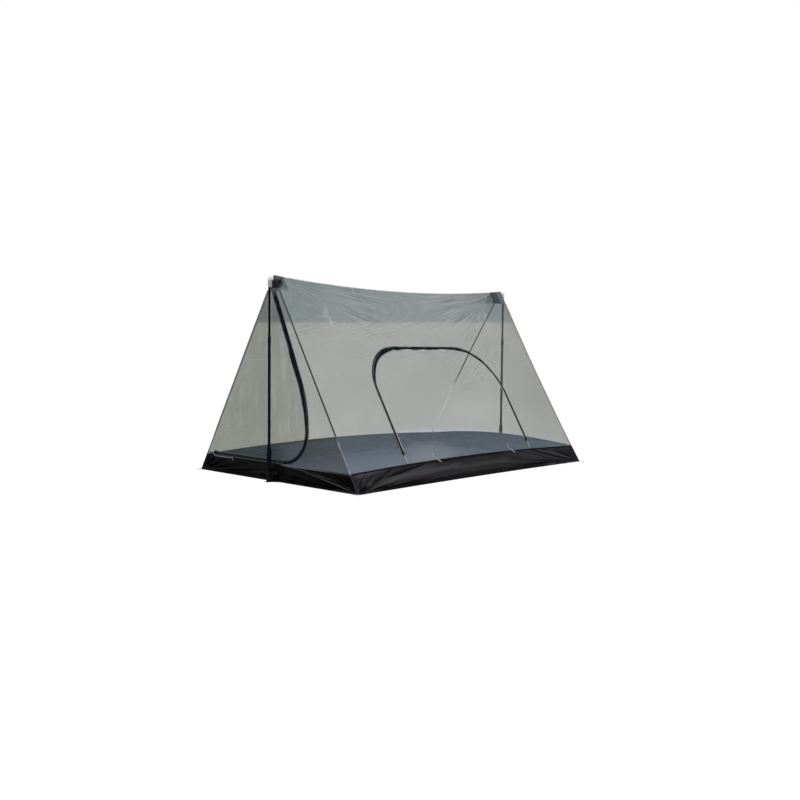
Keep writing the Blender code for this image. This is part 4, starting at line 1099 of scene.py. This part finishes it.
def makeSeams():
    for (end, side), (wide, out) in seamSize["corners"].items():
        def width(share, wide=wide):
            return mix(seamSize["startWide"], wide, smooth((share - 0.12) / 0.2))
        paint = "seam" + end.capitalize() + side.capitalize()
        piece = sweep("corner" + paint.capitalize(), cornerPath(end, side), out, width, seamSize["thick"])
        finishPiece(piece, paint, "tent", [f"seam_{end}_{side}"])
    piece = sweep("ridgeSeam", ridgePath(), (0, 0, 1), seamSize["ridgeWide"], seamSize["thick"])
    finishPiece(piece, "ridge", "tent", ["ridge_seam"])
    for side, edge, steps, out, paint in (
        ("left", sideEdge, 80, (-leanCos, 0, leanSin), "binding"),
        ("right", sideEdge, 80, (leanCos, 0, leanSin), "binding"),
        ("front", endEdge, 60, (0, -1, 0), "bindingFront"),
        ("rear", endEdge, 60, (0, 1, 0), "binding"),
    ):
        path = [edge(side, share) for share in stepsBetween(0, 1, steps)]
        piece = sweep("tubBinding_" + side, path, out, seamSize["bindWide"], seamSize["thick"])
        finishPiece(piece, paint, "tent", ["tub_binding_" + side])


makeSeams()
print("seams bound")


# zip chains: woven tapes, each with the coil along its inner edge; the arch's tapes pucker along the top
def makeZip(name, zipLine, end, sign, lay, body, replaces, pucker=None, paint="zipTape"):
    def edge(distance):
        return spreadPath(zipLine(end, sign * distance), zips["step"])

    count = len(edge(zips["gap"] / 2)) - 1
    lines = [evenPoints(edge(mix(0.0016, tapeEdge, share / 4)), count) for share in range(5)]

    def place(across, along):
        x, y = lines[round(across * 4)][round(along * count)]
        wave = pucker(x, y) * math.sin(across * 2.0) if pucker else 0.0
        return lay(x, y, zips["lift"] + wave)

    tape = clothGrid(name + "Tape", place, 4, count, (zips["tape"], count * zips["step"]))
    thicken(tape, zips["clothThick"])
    coilPath = [lay(x, y) for x, y in edge(zips["gap"] / 2 + zips["bead"] / 2)]
    out = lay(0, 0, 1) - lay(0, 0, 0)
    coil = sweep(name + "Coil", coilPath, out, zips["bead"] / 2, zips["coilThick"], 8, 0.8)
    finishPiece(tape, paint, body, replaces)
    finishPiece(coil, "coil", body, replaces)


def archPucker(x, y):
    high = smooth((y - 0.72) / 0.15)
    return 0.0035 * high * (0.5 + 0.5 * math.sin(x * 52 + 1.5 * math.sin(x * 17)))


def makeZips():
    end = zips["front"]["end"]
    sill = zips["side"]["sill"]
    park = zips["park"]
    makeZip("frontZipFixed", frontZip, end, 1, frontLay, "tent", ["front_zip_tape_fixed"])
    makeZip("frontZipDoor", frontZip, end - park, -1, frontLay, "front_door", ["front_zip_tape_door"])
    makeZip("sideZipFixed", sideZip, sill + 0.0002, 1, slopeLay, "tent", ["side_zip_tape_fixed"], archPucker)
    makeZip(
        "sideZipDoor", sideZip, sill + park, -1, slopeLay, "side_door", ["side_zip_tape_door"], archPucker,
        "zipTapePale",
    )


makeZips()


def coverFlap(name, zipLine, end, inner, outer, lay, body, size, paint):
    # a soft flap of black cloth over the zip, as wide on either side of it as inner and outer tell
    lift, wave, step, beside = 0.0030, 0.0016, 0.008, 0.01
    middle = spreadPath(zipLine(end, 0.0), step)
    count = len(middle) - 1
    before = evenPoints(spreadPath(zipLine(end, beside), step), count)

    def place(across, along):
        index = round(along * count)
        side = (before[index] - middle[index]).normalized()
        x, y = middle[index] + side * mix(-inner(*middle[index]), outer(*middle[index]), across)
        arched = math.sin(across * math.pi)
        return lay(x, y, lift + wave * arched * (1 + math.sin(y * 70 + x * 25 + across * 3)))

    flap = clothGrid(name, place, 8, count, size)
    thicken(flap, zips["clothThick"])
    finishPiece(flap, paint, body)
    return flap


def rampOf(stops):
    def at(place):
        for (low, first), (high, last) in zip(stops, stops[1:]):
            if place <= high:
                return mix(first, last, smooth((place - low) / (high - low)))
        return stops[-1][1]
    return at


# half widths of the flaps: by height beside the front zip, and along the arch, narrow where a pleat is caught
flapWidths = {
    "inner": rampOf([
        (0.13, 0.013), (0.24, 0.022), (0.38, 0.036), (0.47, 0.045), (0.62, 0.043), (0.69, 0.044), (0.83, 0.029),
        (1.13, 0.025),
    ]),
    "outer": rampOf([
        (0.13, 0.003), (0.53, 0.003), (0.61, 0.009), (0.76, 0.020), (0.90, 0.0145), (0.97, 0.018),
        (1.13, 0.011),
    ]),
    "arch": rampOf([
        (-0.60, 0.010), (-0.46, 0.0165), (-0.39, 0.0165), (-0.354, 0.0150), (-0.317, 0.0172),
        (-0.28, 0.0150), (-0.243, 0.0105), (-0.205, 0.0060), (-0.167, 0.0120), (-0.128, 0.0150),
        (-0.09, 0.0107), (-0.051, 0.0110), (-0.011, 0.0143), (0.029, 0.0130), (0.069, 0.0110),
        (0.11, 0.0090), (0.151, 0.0100), (0.192, 0.0125), (0.234, 0.0117), (0.276, 0.0138),
        (0.319, 0.0127), (0.362, 0.0090), (0.44, 0.0070), (0.56, 0.0040),
    ]),
    "least": 0.003, "legs": 0.004, "archFoot": 0.552,
}


def archSag(x):
    return 0.009 * (1 - smooth((x + 0.42) / 0.10)) + 0.006 * smooth((x - 0.20) / 0.12)


def archWide(x, y):
    return mix(flapWidths["legs"], flapWidths["arch"](x), smooth((y - 0.60) / 0.22))


def archInner(x, y):
    return archWide(x, y) + archSag(x) * smooth((y - 0.66) / 0.12)


def archOuter(x, y):
    least = flapWidths["least"]
    return max(least, mix(least, archWide(x, y), smooth((x + 0.62) / 0.20)) - archSag(x))


def makeFlaps():
    # the front zip's flap is broad at shoulder height and runs out into the zip below
    last = zips["front"]["corner"] - zips["front"]["reach"] + 0.002
    inner, outer = flapWidths["inner"], flapWidths["outer"]
    flap = coverFlap(
        "frontZipFlap", frontZip, last, lambda x, y: inner(y), lambda x, y: outer(y), frontLay, "front_door",
        (0.06, 1.1), "flap",
    )
    # the arch's flap is bunched along the top; it stops above the sliders' way
    flap = coverFlap(
        "sideZipFlap", sideZip, flapWidths["archFoot"], archInner, archOuter, slopeLay, "side_door", (0.03, 2.0),
        "archFlap",
    )


# a small garage of black cloth behind each place where a slider is parked
garage = {"half": 0.015, "beyond": 0.004, "behind": 0.0044}


def makeGarage(name, lay, middle, low):
    first, last, half = low - garage["beyond"], low + zips["park"] + garage["beyond"], garage["half"]

    def place(across, along):
        return lay(middle + mix(-half, half, across), mix(first, last, along), -garage["behind"])
    piece = thicken(clothGrid(name, place, 4, 6, (0.03, 0.036)), zips["clothThick"])
    finishPiece(piece, "blackWebbing", "tent")


def zipFootLay(across, run, out):
    return frontLay(run, railUp + across, out)


def makeGarages():
    size = zips["side"]
    makeGarage("sideGarage_front", slopeLay, -size["front"], size["sill"])
    makeGarage("sideGarage_rear", slopeLay, size["rear"], size["sill"])
    makeGarage("frontGarage", zipFootLay, 0.0, -zips["front"]["end"])


makeFlaps()
makeGarages()
print("zips sewn in")


# webbing, pockets and patches
patches = {
    "front": {"run": 0.075, "rows": 10}, "rear": {"run": 0.130, "rows": 16},
    "lift": 0.0004, "thick": 0.0022, "overlap": 0.0015, "fold": 0.0016, "wave": 0.0008,
}


def makePatch(end):
    outward = outwards[end]
    run = patches[end]["run"]
    foot = patchFoot - patches["overlap"]

    def roof(across, along):
        # over the ridge from one side's foot to the other's, round at the fold
        side = across * 2 - 1
        y = outward * (halfLength - run * along)
        top = ridgeZ(y)
        z = mix(top, foot, min(1.0, abs(side) ** 0.92))
        x = math.copysign(slopeX(z) - slopeX(top), side) if abs(side) > 1e-6 else 0.0
        y = mix(y, wallY(end, patchFoot) if along == 0 else y, abs(side))
        out = patches["lift"] + patches["wave"] * math.sin(abs(side) * 9 + along * 7) * smooth(along * 4)
        lift = patches["fold"] * (1 - abs(side)) ** 6
        return Vector((x + math.copysign(out * leanCos, side), y, z + out * leanSin + lift))

    def gable(across, up):
        z = mix(foot, height - 0.0006, up)
        return Vector((mix(-slopeX(z), slopeX(z), across), wallY(end, z) + outward * patches["lift"], z))

    cover = clothGrid(end + "PatchRoof", roof, 24, patches[end]["rows"], (0.2, run))
    wall = clothGrid(end + "PatchWall", gable, 20, 14, (0.1, 0.09))
    faceOut(wall, 0.0004)
    for piece, paint in ((cover, "patch" + end.capitalize()), (wall, "gable")):
        thicken(piece, patches["thick"])
        finishPiece(piece, paint, "tent", [f"apex_patch_{end}"])


pocketSize = {"foot": 1.1496, "top": 1.2104, "radius": 0.0092, "back": 0.0021, "root": 0.0016, "thick": 0.0011}


def pocketRing(turn):
    # a round nose outwards, and straight sides that close on the root
    radius = pocketSize["radius"]
    reach = tent["poleOut"] - pocketSize["back"]
    meet = math.acos(radius / reach)
    angle = turn * math.tau - math.pi
    if abs(angle) < math.pi - meet:
        return Vector((radius * math.sin(angle), radius * math.cos(angle)))
    share = (abs(angle) - (math.pi - meet)) / meet
    touch = Vector((radius * math.sin(math.pi - meet), radius * math.cos(math.pi - meet)))
    point = touch.lerp(Vector((pocketSize["root"], -reach)), share)
    return Vector((math.copysign(point.x, angle), point.y))


def makePocket(end):
    # a cup of webbing for the pole's tip, drawn back to a point on the patch, closed over its last tenth
    outward = outwards[end]
    centre = outward * (halfLength + tent["poleOut"])

    def place(across, up):
        fold = 0.0003 * math.sin(across * 40) * hump(up)
        narrow = 1.0 - 0.10 * smooth((up - 0.80) / 0.2)
        shrink = 1.0 if up <= 0.9 else 1 - (up - 0.9) / 0.1 * 0.98
        middle = Vector((0.0, -0.004 * (1 - shrink)))
        rim = middle + (pocketRing(across) * narrow - middle) * shrink
        z = mix(pocketSize["foot"], pocketSize["top"], min(up / 0.9, 1.0))
        return Vector((rim.x * (1 + fold), centre + outward * rim.y, z))

    pocket = clothGrid(end + "Pocket", place, 48, 20, (0.08, 0.06))
    faceOut(pocket, 0.0001)
    thicken(pocket, pocketSize["thick"], -1.0)
    finishPiece(pocket, "pocket" + end.capitalize(), "tent", [f"apex_pocket_{end}"])


strapSize = {
    "root": 1.1012, "tip": 0.024, "rootHalf": 0.060, "poleHalf": 0.025, "tipHalf": 0.0125, "eyelet": 0.0054,
    "thick": 0.0018, "lift": 0.0013,
}
holderSize = {
    "radius": 0.0150, "turn": 2.35, "up": 0.047, "tilt": 0.004, "half": 0.0075, "thick": 0.0012,
    "flare": [(-0.034, 1.1016, 0.057), (-0.022, 1.112, 0.052)],
}


def groundLay(x, y, out):
    return Vector((x, y, out))


def makeStrap(end):
    outward = outwards[end]
    root, shoulder = strapSize["root"], halfLength + tent["poleOut"]
    tip = shoulder + strapSize["tip"]

    def place(across, along):
        reach = mix(root, tip, along)
        if reach < shoulder:
            half = mix(strapSize["rootHalf"], strapSize["poleHalf"], (reach - root) / (shoulder - root))
        else:
            half = mix(strapSize["poleHalf"], strapSize["tipHalf"], (reach - shoulder) / (tip - shoulder))
        x = mix(-half, half, across)
        lift = 0.0003 * math.sin(x * 190 + along * 5) + 0.0004 * hump(along)
        return Vector((x, outward * reach, strapSize["lift"] + abs(lift)))

    strap = clothGrid(end + "FootStrap", place, 40, 22, (0.12, 0.055))
    hole = slab(arcPoints((0.0, outward * shoulder), strapSize["eyelet"], 0, 345, 23), groundLay, 0.02)
    near, far = outward * 1.0, outward * 1.3
    block = slab([(-0.1, near), (0.1, near), (0.1, far), (-0.1, far)], groundLay, 0.01)
    cut(block, hole, "DIFFERENCE")
    cut(strap, block, "INTERSECT")
    thicken(strap, strapSize["thick"])
    finishPiece(strap, "blackWebbing", "tent", [f"foot_strap_{end}"])


def makeHolder(end):
    # a narrower strap holds the pole's foot to the wall
    outward = outwards[end]
    centre, radius = halfLength + tent["poleOut"], holderSize["radius"]

    def around(turn):
        y = outward * (centre + radius * math.cos(turn))
        return Vector((radius * math.sin(turn), y, holderSize["up"] + holderSize["tilt"] * math.sin(turn * 2)))

    flare = [Vector((x, outward * y, z)) for x, y, z in holderSize["flare"]]
    path = flare + [around(turn) for turn in stepsBetween(-holderSize["turn"], holderSize["turn"], 48)]
    path += [Vector((-point.x, point.y, point.z)) for point in reversed(flare)]
    path = smoothPath(path, 90)
    lengths = pathLengths(path)

    def place(across, point):
        return point + Vector((0, 0, mix(-holderSize["half"], holderSize["half"], across)))
    holder = profileGrid(end + "FootHolder", place, 6, path, (0.015, lengths[-1]))
    thicken(holder, holderSize["thick"])
    finishPiece(holder, "blackWebbing", "tent")


pegLoop = {
    "half": 0.01, "start": 0.0004, "near": 0.0016, "far": 0.0300, "rise": 0.0014, "up": 0.0021, "thick": 0.0012,
}


def makeLoop(name, side, outward):
    turn = math.atan2(outward, side)
    heading = Vector((math.cos(turn), math.sin(turn), 0))
    across = Vector((-math.sin(turn), math.cos(turn), 0))
    start = Vector((side * halfWidth, outward * halfLength, pegLoop["up"])) + heading * pegLoop["start"]
    rise = pegLoop["rise"]
    profile = arcPoints((pegLoop["near"], 0), rise, 270, 90, 9)
    profile += arcPoints((pegLoop["far"] - rise, 0), rise, 90, -90, 9)

    def place(share, point):
        side = across * mix(-pegLoop["half"], pegLoop["half"], share)
        return start + heading * point[0] + side + Vector((0, 0, point[1]))
    loop = profileGrid(name.title().replace("_", ""), place, 8, profile + profile[:1], (0.02, 0.064))
    faceOut(loop)
    thicken(loop, pegLoop["thick"])
    finishPiece(loop, "paleWebbing", "tent", [name])


# the ring under the ridge and the folded webbing that holds it share their place on the slope
ringSize = {
    "along": -1.07, "up": slopeLength - 0.05, "lift": 0.0044, "half": 0.013, "drop": 0.018, "wire": 0.0015,
    "steps": 72, "tabRadius": 0.0024, "tabHalf": 0.009, "tabThick": 0.0011,
}


def makeRingTab():
    radius = ringSize["tabRadius"]
    profile = [(-0.020, -radius), (-0.010, -radius), (0.0, -radius)]
    profile += arcPoints((0, 0), radius, -75, 120, 13)
    profile += [(-0.0035, 0.0008), (-0.0065, -0.0006), (-0.010, -0.0012), (-0.020, -0.0012)]

    def place(across, point):
        side = mix(-ringSize["tabHalf"], ringSize["tabHalf"], across)
        return slopeLay(ringSize["along"] + side, ringSize["up"] - point[0], ringSize["lift"] + point[1])
    tab = profileGrid("ringTab", place, 8, profile, (0.018, 0.05))
    thicken(tab, ringSize["tabThick"])
    finishPiece(tab, "blackWebbing", "tent", ["apex_ring_tab"])


for end in outwards:
    makePatch(end)
    makePocket(end)
    makeStrap(end)
    makeHolder(end)
for side, sign in sides.items():
    for end, outward in outwards.items():
        makeLoop(f"peg_loop_{end}_{side}", sign, outward)
makeRingTab()
print("webbing sewn on")


# zip pulls: a metal eye through the slider's bridge, and a folded ribbon
pull = {
    "length": 0.058, "eye": 0.0096, "half": 0.003, "thick": 0.0012, "lift": 0.0041, "bar": 0.0007, "tip": 0.002,
    "slotHalf": 0.0015, "slotLong": 0.0056, "bevel": 0.0002, "ribbonHalf": 0.0005, "bend": 0.0009,
}
rest = zips["front"]["end"] - 0.0091
sill = zips["side"]["sill"] + 0.0093


def frontPullLay(across, along, out):  # along runs from the eye to the ribbon's end
    return frontLay(-rest - along, railUp + across, pull["lift"] + out)


def sidePullLay(middle):
    return lambda across, along, out: slopeLay(middle + across, sill - along, pull["lift"] + out)


def makePull(name, lay, body, paint="ribbon", metal="puller"):
    half, bar, eye, end = pull["half"], pull["bar"], pull["eye"], pull["length"]
    tip, slot, slotTop = eye + pull["tip"], pull["slotHalf"], pull["bar"] + pull["slotLong"]
    outline = [(-half, -bar), (half, -bar), (half, eye), (half * 0.5, tip), (-half * 0.5, tip), (-half, eye)]
    plate = slab(outline, lay, pull["thick"] / 2)
    cut(plate, slab([(-slot, bar), (slot, bar), (slot, slotTop), (-slot, slotTop)], lay, 0.003), "DIFFERENCE")
    bevel = plate.modifiers.new("edges", "BEVEL")
    bevel.width = pull["bevel"]
    bevel.segments = 2
    plate.name = name + "Eye"
    finishPiece(plate, metal, body, [name])

    # the ribbon's line runs out above the middle, round its end and back below
    rise, bend = pull["ribbonHalf"], pull["bend"]
    near, far = eye - 0.0005, end - 0.0012
    profile = [(near, rise)]
    profile += [(mix(eye, far, step / 12), rise + 0.0004 * math.sin(step)) for step in range(1, 12)]
    profile += arcPoints((end - bend, 0), bend, 70, -70, 7)
    profile += [(mix(far, eye, step / 12), -rise + 0.0002 * math.sin(step)) for step in range(1, 12)]
    profile.append((near, -rise))

    def place(across, point):
        return lay(mix(-half, half, across), *point)
    ribbon = profileGrid(name + "Ribbon", place, 4, profile, (half * 2, 0.1))
    thicken(ribbon, 0.0005)
    finishPiece(ribbon, paint, body, [name])


makePull("front_zip_pull", frontPullLay, "front_pull", "darkRibbon", "slider")
makePull("side_zip_front_pull", sidePullLay(-zips["side"]["front"]), "side_pull_front")
makePull("side_zip_rear_pull", sidePullLay(zips["side"]["rear"]), "side_pull_rear")


# ties for the rolled door, and the band on the front wall
def flatRibbon(name, path, out, paint, replaces):
    ribbon = sweep(name, path, out, 0.0031, 0.0005, square=0.5)
    return finishPiece(ribbon, paint, "tent", replaces)


def lathe(name, profile, centre, around, ribs):
    # a closed shape turned about an upright line through centre, with ribs on its widest part
    def place(across, point):
        radius, up = point
        turn = across * math.tau
        if ribs and radius > collarRibs["from"]:
            radius += collarRibs["deep"] * math.cos(turn * ribs)
        return Vector(centre) + Vector((radius * math.cos(turn), radius * math.sin(turn), up))
    piece = profileGrid(name, place, around, profile + profile[:1], (0.05, 0.1))
    faceOut(piece)
    return piece


tie = {
    "place": 0.375, "long": 0.042, "steps": 12, "strapLift": 0.0013, "lift": 0.0074, "turn": math.radians(52),
    "toggle": [  # radius, and the way along the bar: knobs at both ends and a waist for the ribbon
        (0.0, -0.0002), (0.0020, 0.0001), (0.0034, 0.0008), (0.0041, 0.002), (0.0042, 0.008), (0.0042, 0.014),
        (0.0041, 0.0195), (0.0031, 0.0205), (0.0031, 0.0245), (0.0041, 0.0255), (0.0042, 0.031),
        (0.0042, 0.037), (0.0041, 0.043), (0.0034, 0.0442), (0.0020, 0.0449), (0.0, 0.0452),
    ],
}
band = {  # across and up the front wall; the hook stands at the right end
    "left": [(-0.588, 0.119), (-0.587, 0.112), (-0.582, 0.1065)], "run": (-0.576, -0.400), "up": 0.105,
    "sag": 0.002,
    "hook": [(-0.394, 0.107), (-0.390, 0.110), (-0.3865, 0.107), (-0.386, 0.098), (-0.3865, 0.088)],
}


def makeTie(end, sign):
    along = sign * tie["place"]
    tops = zips["side"]["sill"] - 0.0016
    foot = tops - tie["long"]

    def strip(step):
        lift = tie["strapLift"] + 0.0003 * math.sin(step * 0.9)
        return slopeLay(along + 0.0008 * math.sin(step), mix(tops, foot, step / tie["steps"]), lift)

    normal = slopeLay(0, 0, 1) - slopeLay(0, 0, 0)
    path = [strip(step) for step in range(tie["steps"] + 1)]
    flatRibbon(f"side_tie_{end}_strip", path, normal, "ribbon", [f"side_tie_{end}_ribbon"])
    way = Vector((math.sin(tie["turn"]), -math.cos(tie["turn"])))

    def place(across, point):
        radius, run = point
        turn = across * math.tau
        spot = Vector((along, foot)) + way * run + Vector((way.y, -way.x)) * radius * math.cos(turn)
        return slopeLay(spot.x, spot.y, tie["lift"] + radius * math.sin(turn))
    toggle = profileGrid(f"side_tie_{end}_bar", place, 20, tie["toggle"], (0.02, 0.045))
    faceOut(toggle)
    finishPiece(toggle, "palePlastic", "tent", [f"side_tie_{end}_toggle"])


def makeBand():
    middle = [(mix(*band["run"], step / 14), band["up"] - band["sag"] * hump(step / 14)) for step in range(15)]
    path = band["left"] + middle + band["hook"]
    path = smoothPath([frontLay(x, z, 0.0040 + 0.0004 * math.sin(x * 60)) for x, z in path], 60)
    flatRibbon("frontBand", path, (0, -1, 0), "greyBand", ["front_door_band"])


def makeTies():
    for end, sign in outwards.items():
        makeTie(end, sign)
    makeBand()


makeTies()


# poles: tubes, grips, feet and the ring of the twist lock's collar
poleParts = {  # each profile runs from one (radius, height) to the next
    "lower_tube": {"paint": "tube", "slot": "pole_tube", "profile": [
        (0.0001, 0.0115), (0.0075, 0.0115), (0.0075, 0.8226), (0.0085, 0.8226), (0.0085, 0.0112),
        (0.0001, 0.0112),
    ]},
    "upper_tube": {"paint": "tube", "slot": "pole_tube", "profile": [
        (0.0001, 1.2082), (0.0052, 1.2082), (0.0064, 1.2040), (0.0070, 1.1962), (0.0070, 0.5030),
        (0.0061, 0.5030), (0.0061, 1.1930), (0.0001, 1.1930),
    ]},
    "grip": {"paint": "foam", "slot": "foam_grip", "profile": [
        (0.0089, 0.2064), (0.0108, 0.2062), (0.0124, 0.2048), (0.0131, 0.2020), (0.0131, 0.1500),
        (0.0132, 0.1000), (0.0132, 0.0600), (0.0131, 0.0340), (0.0127, 0.0300), (0.0089, 0.0289),
    ]},
    "foot": {"paint": "rubber", "slot": "foot_rubber", "profile": [
        (0.0089, 0.0112), (0.0089, 0.0284), (0.0116, 0.0284), (0.0124, 0.0262), (0.0128, 0.0205),
        (0.0136, 0.0200), (0.0137, 0.0150), (0.0143, 0.0145), (0.0146, 0.0060), (0.0146, 0.0030),
        (0.0141, 0.0024), (0.0050, 0.0024), (0.0050, 0.0004), (0.0001, 0.0004), (0.0001, 0.0112),
    ]},
    "collar": {"paint": "plastic", "slot": "black_plastic", "profile": [
        (0.0074, 0.8610), (0.0090, 0.8610), (0.0098, 0.8602), (0.0098, 0.8450), (0.0093, 0.8440),
        (0.0098, 0.8430), (0.0098, 0.8250), (0.0093, 0.8230), (0.0074, 0.8230),
    ]},
}


collarRibs = {"count": 16, "from": 0.009, "deep": 0.0003}


def makePoles():
    for end, outward in outwards.items():
        centre = (0, outward * (halfLength + tent["poleOut"]), 0)
        for part, look in poleParts.items():
            around, ribs = (96, collarRibs["count"]) if part == "collar" else (40, 0)
            piece = lathe(f"{end}_{part}_turned", look["profile"], centre, around, ribs)
            body = {"upper_tube": f"{end}_pole_top", "collar": f"{end}_collar"}.get(part, "tent")
            paint = "rearTube" if (end, look["paint"]) == ("rear", "tube") else look["paint"]
            finishPiece(piece, paint, body, [f"pole_{end}_{part}"])


makePoles()


def makeRing():
    # a half round with a straight bar across its top
    half, wire, count = ringSize["half"], ringSize["wire"], ringSize["steps"]
    line = [(half * share, 0.0) for share in (-1, -0.5, 0, 0.5, 1)]
    line += arcPoints((0.0, half - ringSize["drop"]), half, 0, -180, 20)
    even = evenPoints(line + line[:1], count)[:-1]

    def place(across, share):
        index = round(share * count) % count
        run = (even[(index + 1) % count] - even[index - 1]).normalized()
        turn = across * math.tau
        spot = even[index] + Vector((run.y, -run.x)) * wire * math.cos(turn)
        out = ringSize["lift"] + wire * math.sin(turn)
        return slopeLay(ringSize["along"] + spot.x, ringSize["up"] + spot.y, out)
    ring = clothGrid("ridgeRing", place, 14, count, (0.009, 0.08))
    faceOut(ring)
    finishPiece(ring, "plastic", "ring", ["apex_ring"])


makeRing()
print("poles and fittings ready")


# floor, backdrop and lights
stage = {
    "floor": (0.86, 0.86, 0.86, 1), "under": 0.0012, "share": 0.75, "white": 1.18, "day": 0.62,
    "dayColor": (0.97, 0.98, 1.0, 1), "aim": (0, 0, 0.4),
}
lamps = {  # place, size, power
    "keyLight": ((3.2, -2.6, 4.6), 3.0, 150),
    "fillLight": ((-4.0, -3.5, 3.0), 3.0, 60),
    "backLight": ((-1.0, 5.0, 3.6), 3.0, 60),
}


def addNode(tree, kind, inputs, operation=None):
    made = tree.nodes.new("ShaderNode" + kind)
    if operation:
        made.operation = operation
    for key, value in inputs.items():
        if isinstance(value, bpy.types.NodeSocket):
            tree.links.new(value, made.inputs[key])
        else:
            made.inputs[key].default_value = value
    return made.outputs[0]


def makeGround():
    alone()
    bpy.ops.mesh.primitive_plane_add(size=60, location=(0, 0, -stage["under"]))
    ground = bpy.context.object
    ground.name = "studioFloor"
    material = bpy.data.materials.new("studioFloor")
    material.use_nodes = True
    tree = material.node_tree
    shader = tree.nodes["Principled BSDF"]
    shader.inputs["Base Color"].default_value = stage["floor"]
    shader.inputs["Roughness"].default_value = 1.0
    rays = tree.nodes.new("ShaderNodeLightPath").outputs
    glassy = addNode(tree, "Math", {0: rays["Is Glossy Ray"], 1: rays["Is Transmission Ray"]}, "MAXIMUM")
    seen = addNode(tree, "Math", {0: rays["Is Camera Ray"], 1: glassy}, "MAXIMUM")
    share = addNode(tree, "Math", {0: seen, 1: stage["share"]}, "MULTIPLY")
    white = addNode(tree, "Emission", {"Strength": stage["white"]})
    blend = addNode(tree, "MixShader", {0: share, 1: shader.outputs[0], 2: white})
    tree.links.new(blend, tree.nodes["Material Output"].inputs[0])
    ground.data.materials.append(material)


def makeWorld():
    world = bpy.data.worlds.new("studio")
    world.use_nodes = True
    bpy.context.scene.world = world
    tree = world.node_tree
    day = tree.nodes["Background"]
    day.inputs["Color"].default_value = stage["dayColor"]
    day.inputs["Strength"].default_value = stage["day"]
    rays = tree.nodes.new("ShaderNodeLightPath").outputs
    seen = addNode(tree, "Math", {0: rays["Is Camera Ray"], 1: rays["Is Transmission Ray"]}, "MAXIMUM")
    white = addNode(tree, "Background", {"Color": (1, 1, 1, 1)})
    blend = addNode(tree, "MixShader", {0: seen, 1: day.outputs[0], 2: white})
    tree.links.new(blend, tree.nodes["World Output"].inputs[0])


def makeStage():
    makeGround()
    makeWorld()
    for name, (place, size, power) in lamps.items():
        bpy.ops.object.light_add(type="AREA", location=place)
        lamp = bpy.context.object
        lamp.name = name
        lamp.data.size = size
        lamp.data.energy = power
        lamp.rotation_euler = (Vector(stage["aim"]) - Vector(place)).to_track_quat("-Z", "Y").to_euler()


makeStage()


# the rigid CAD pieces that stay get their finish
finishes = {
    "plastic": ["pole_front_expander", "pole_rear_expander"],
    "slider": ["front_zip_slider", "side_zip_front_slider", "side_zip_rear_slider"],
}
for finish, members in finishes.items():
    for member in members:
        nodes[member].data.materials.clear()
        nodes[member].data.materials.append(paints[finish])

alone()
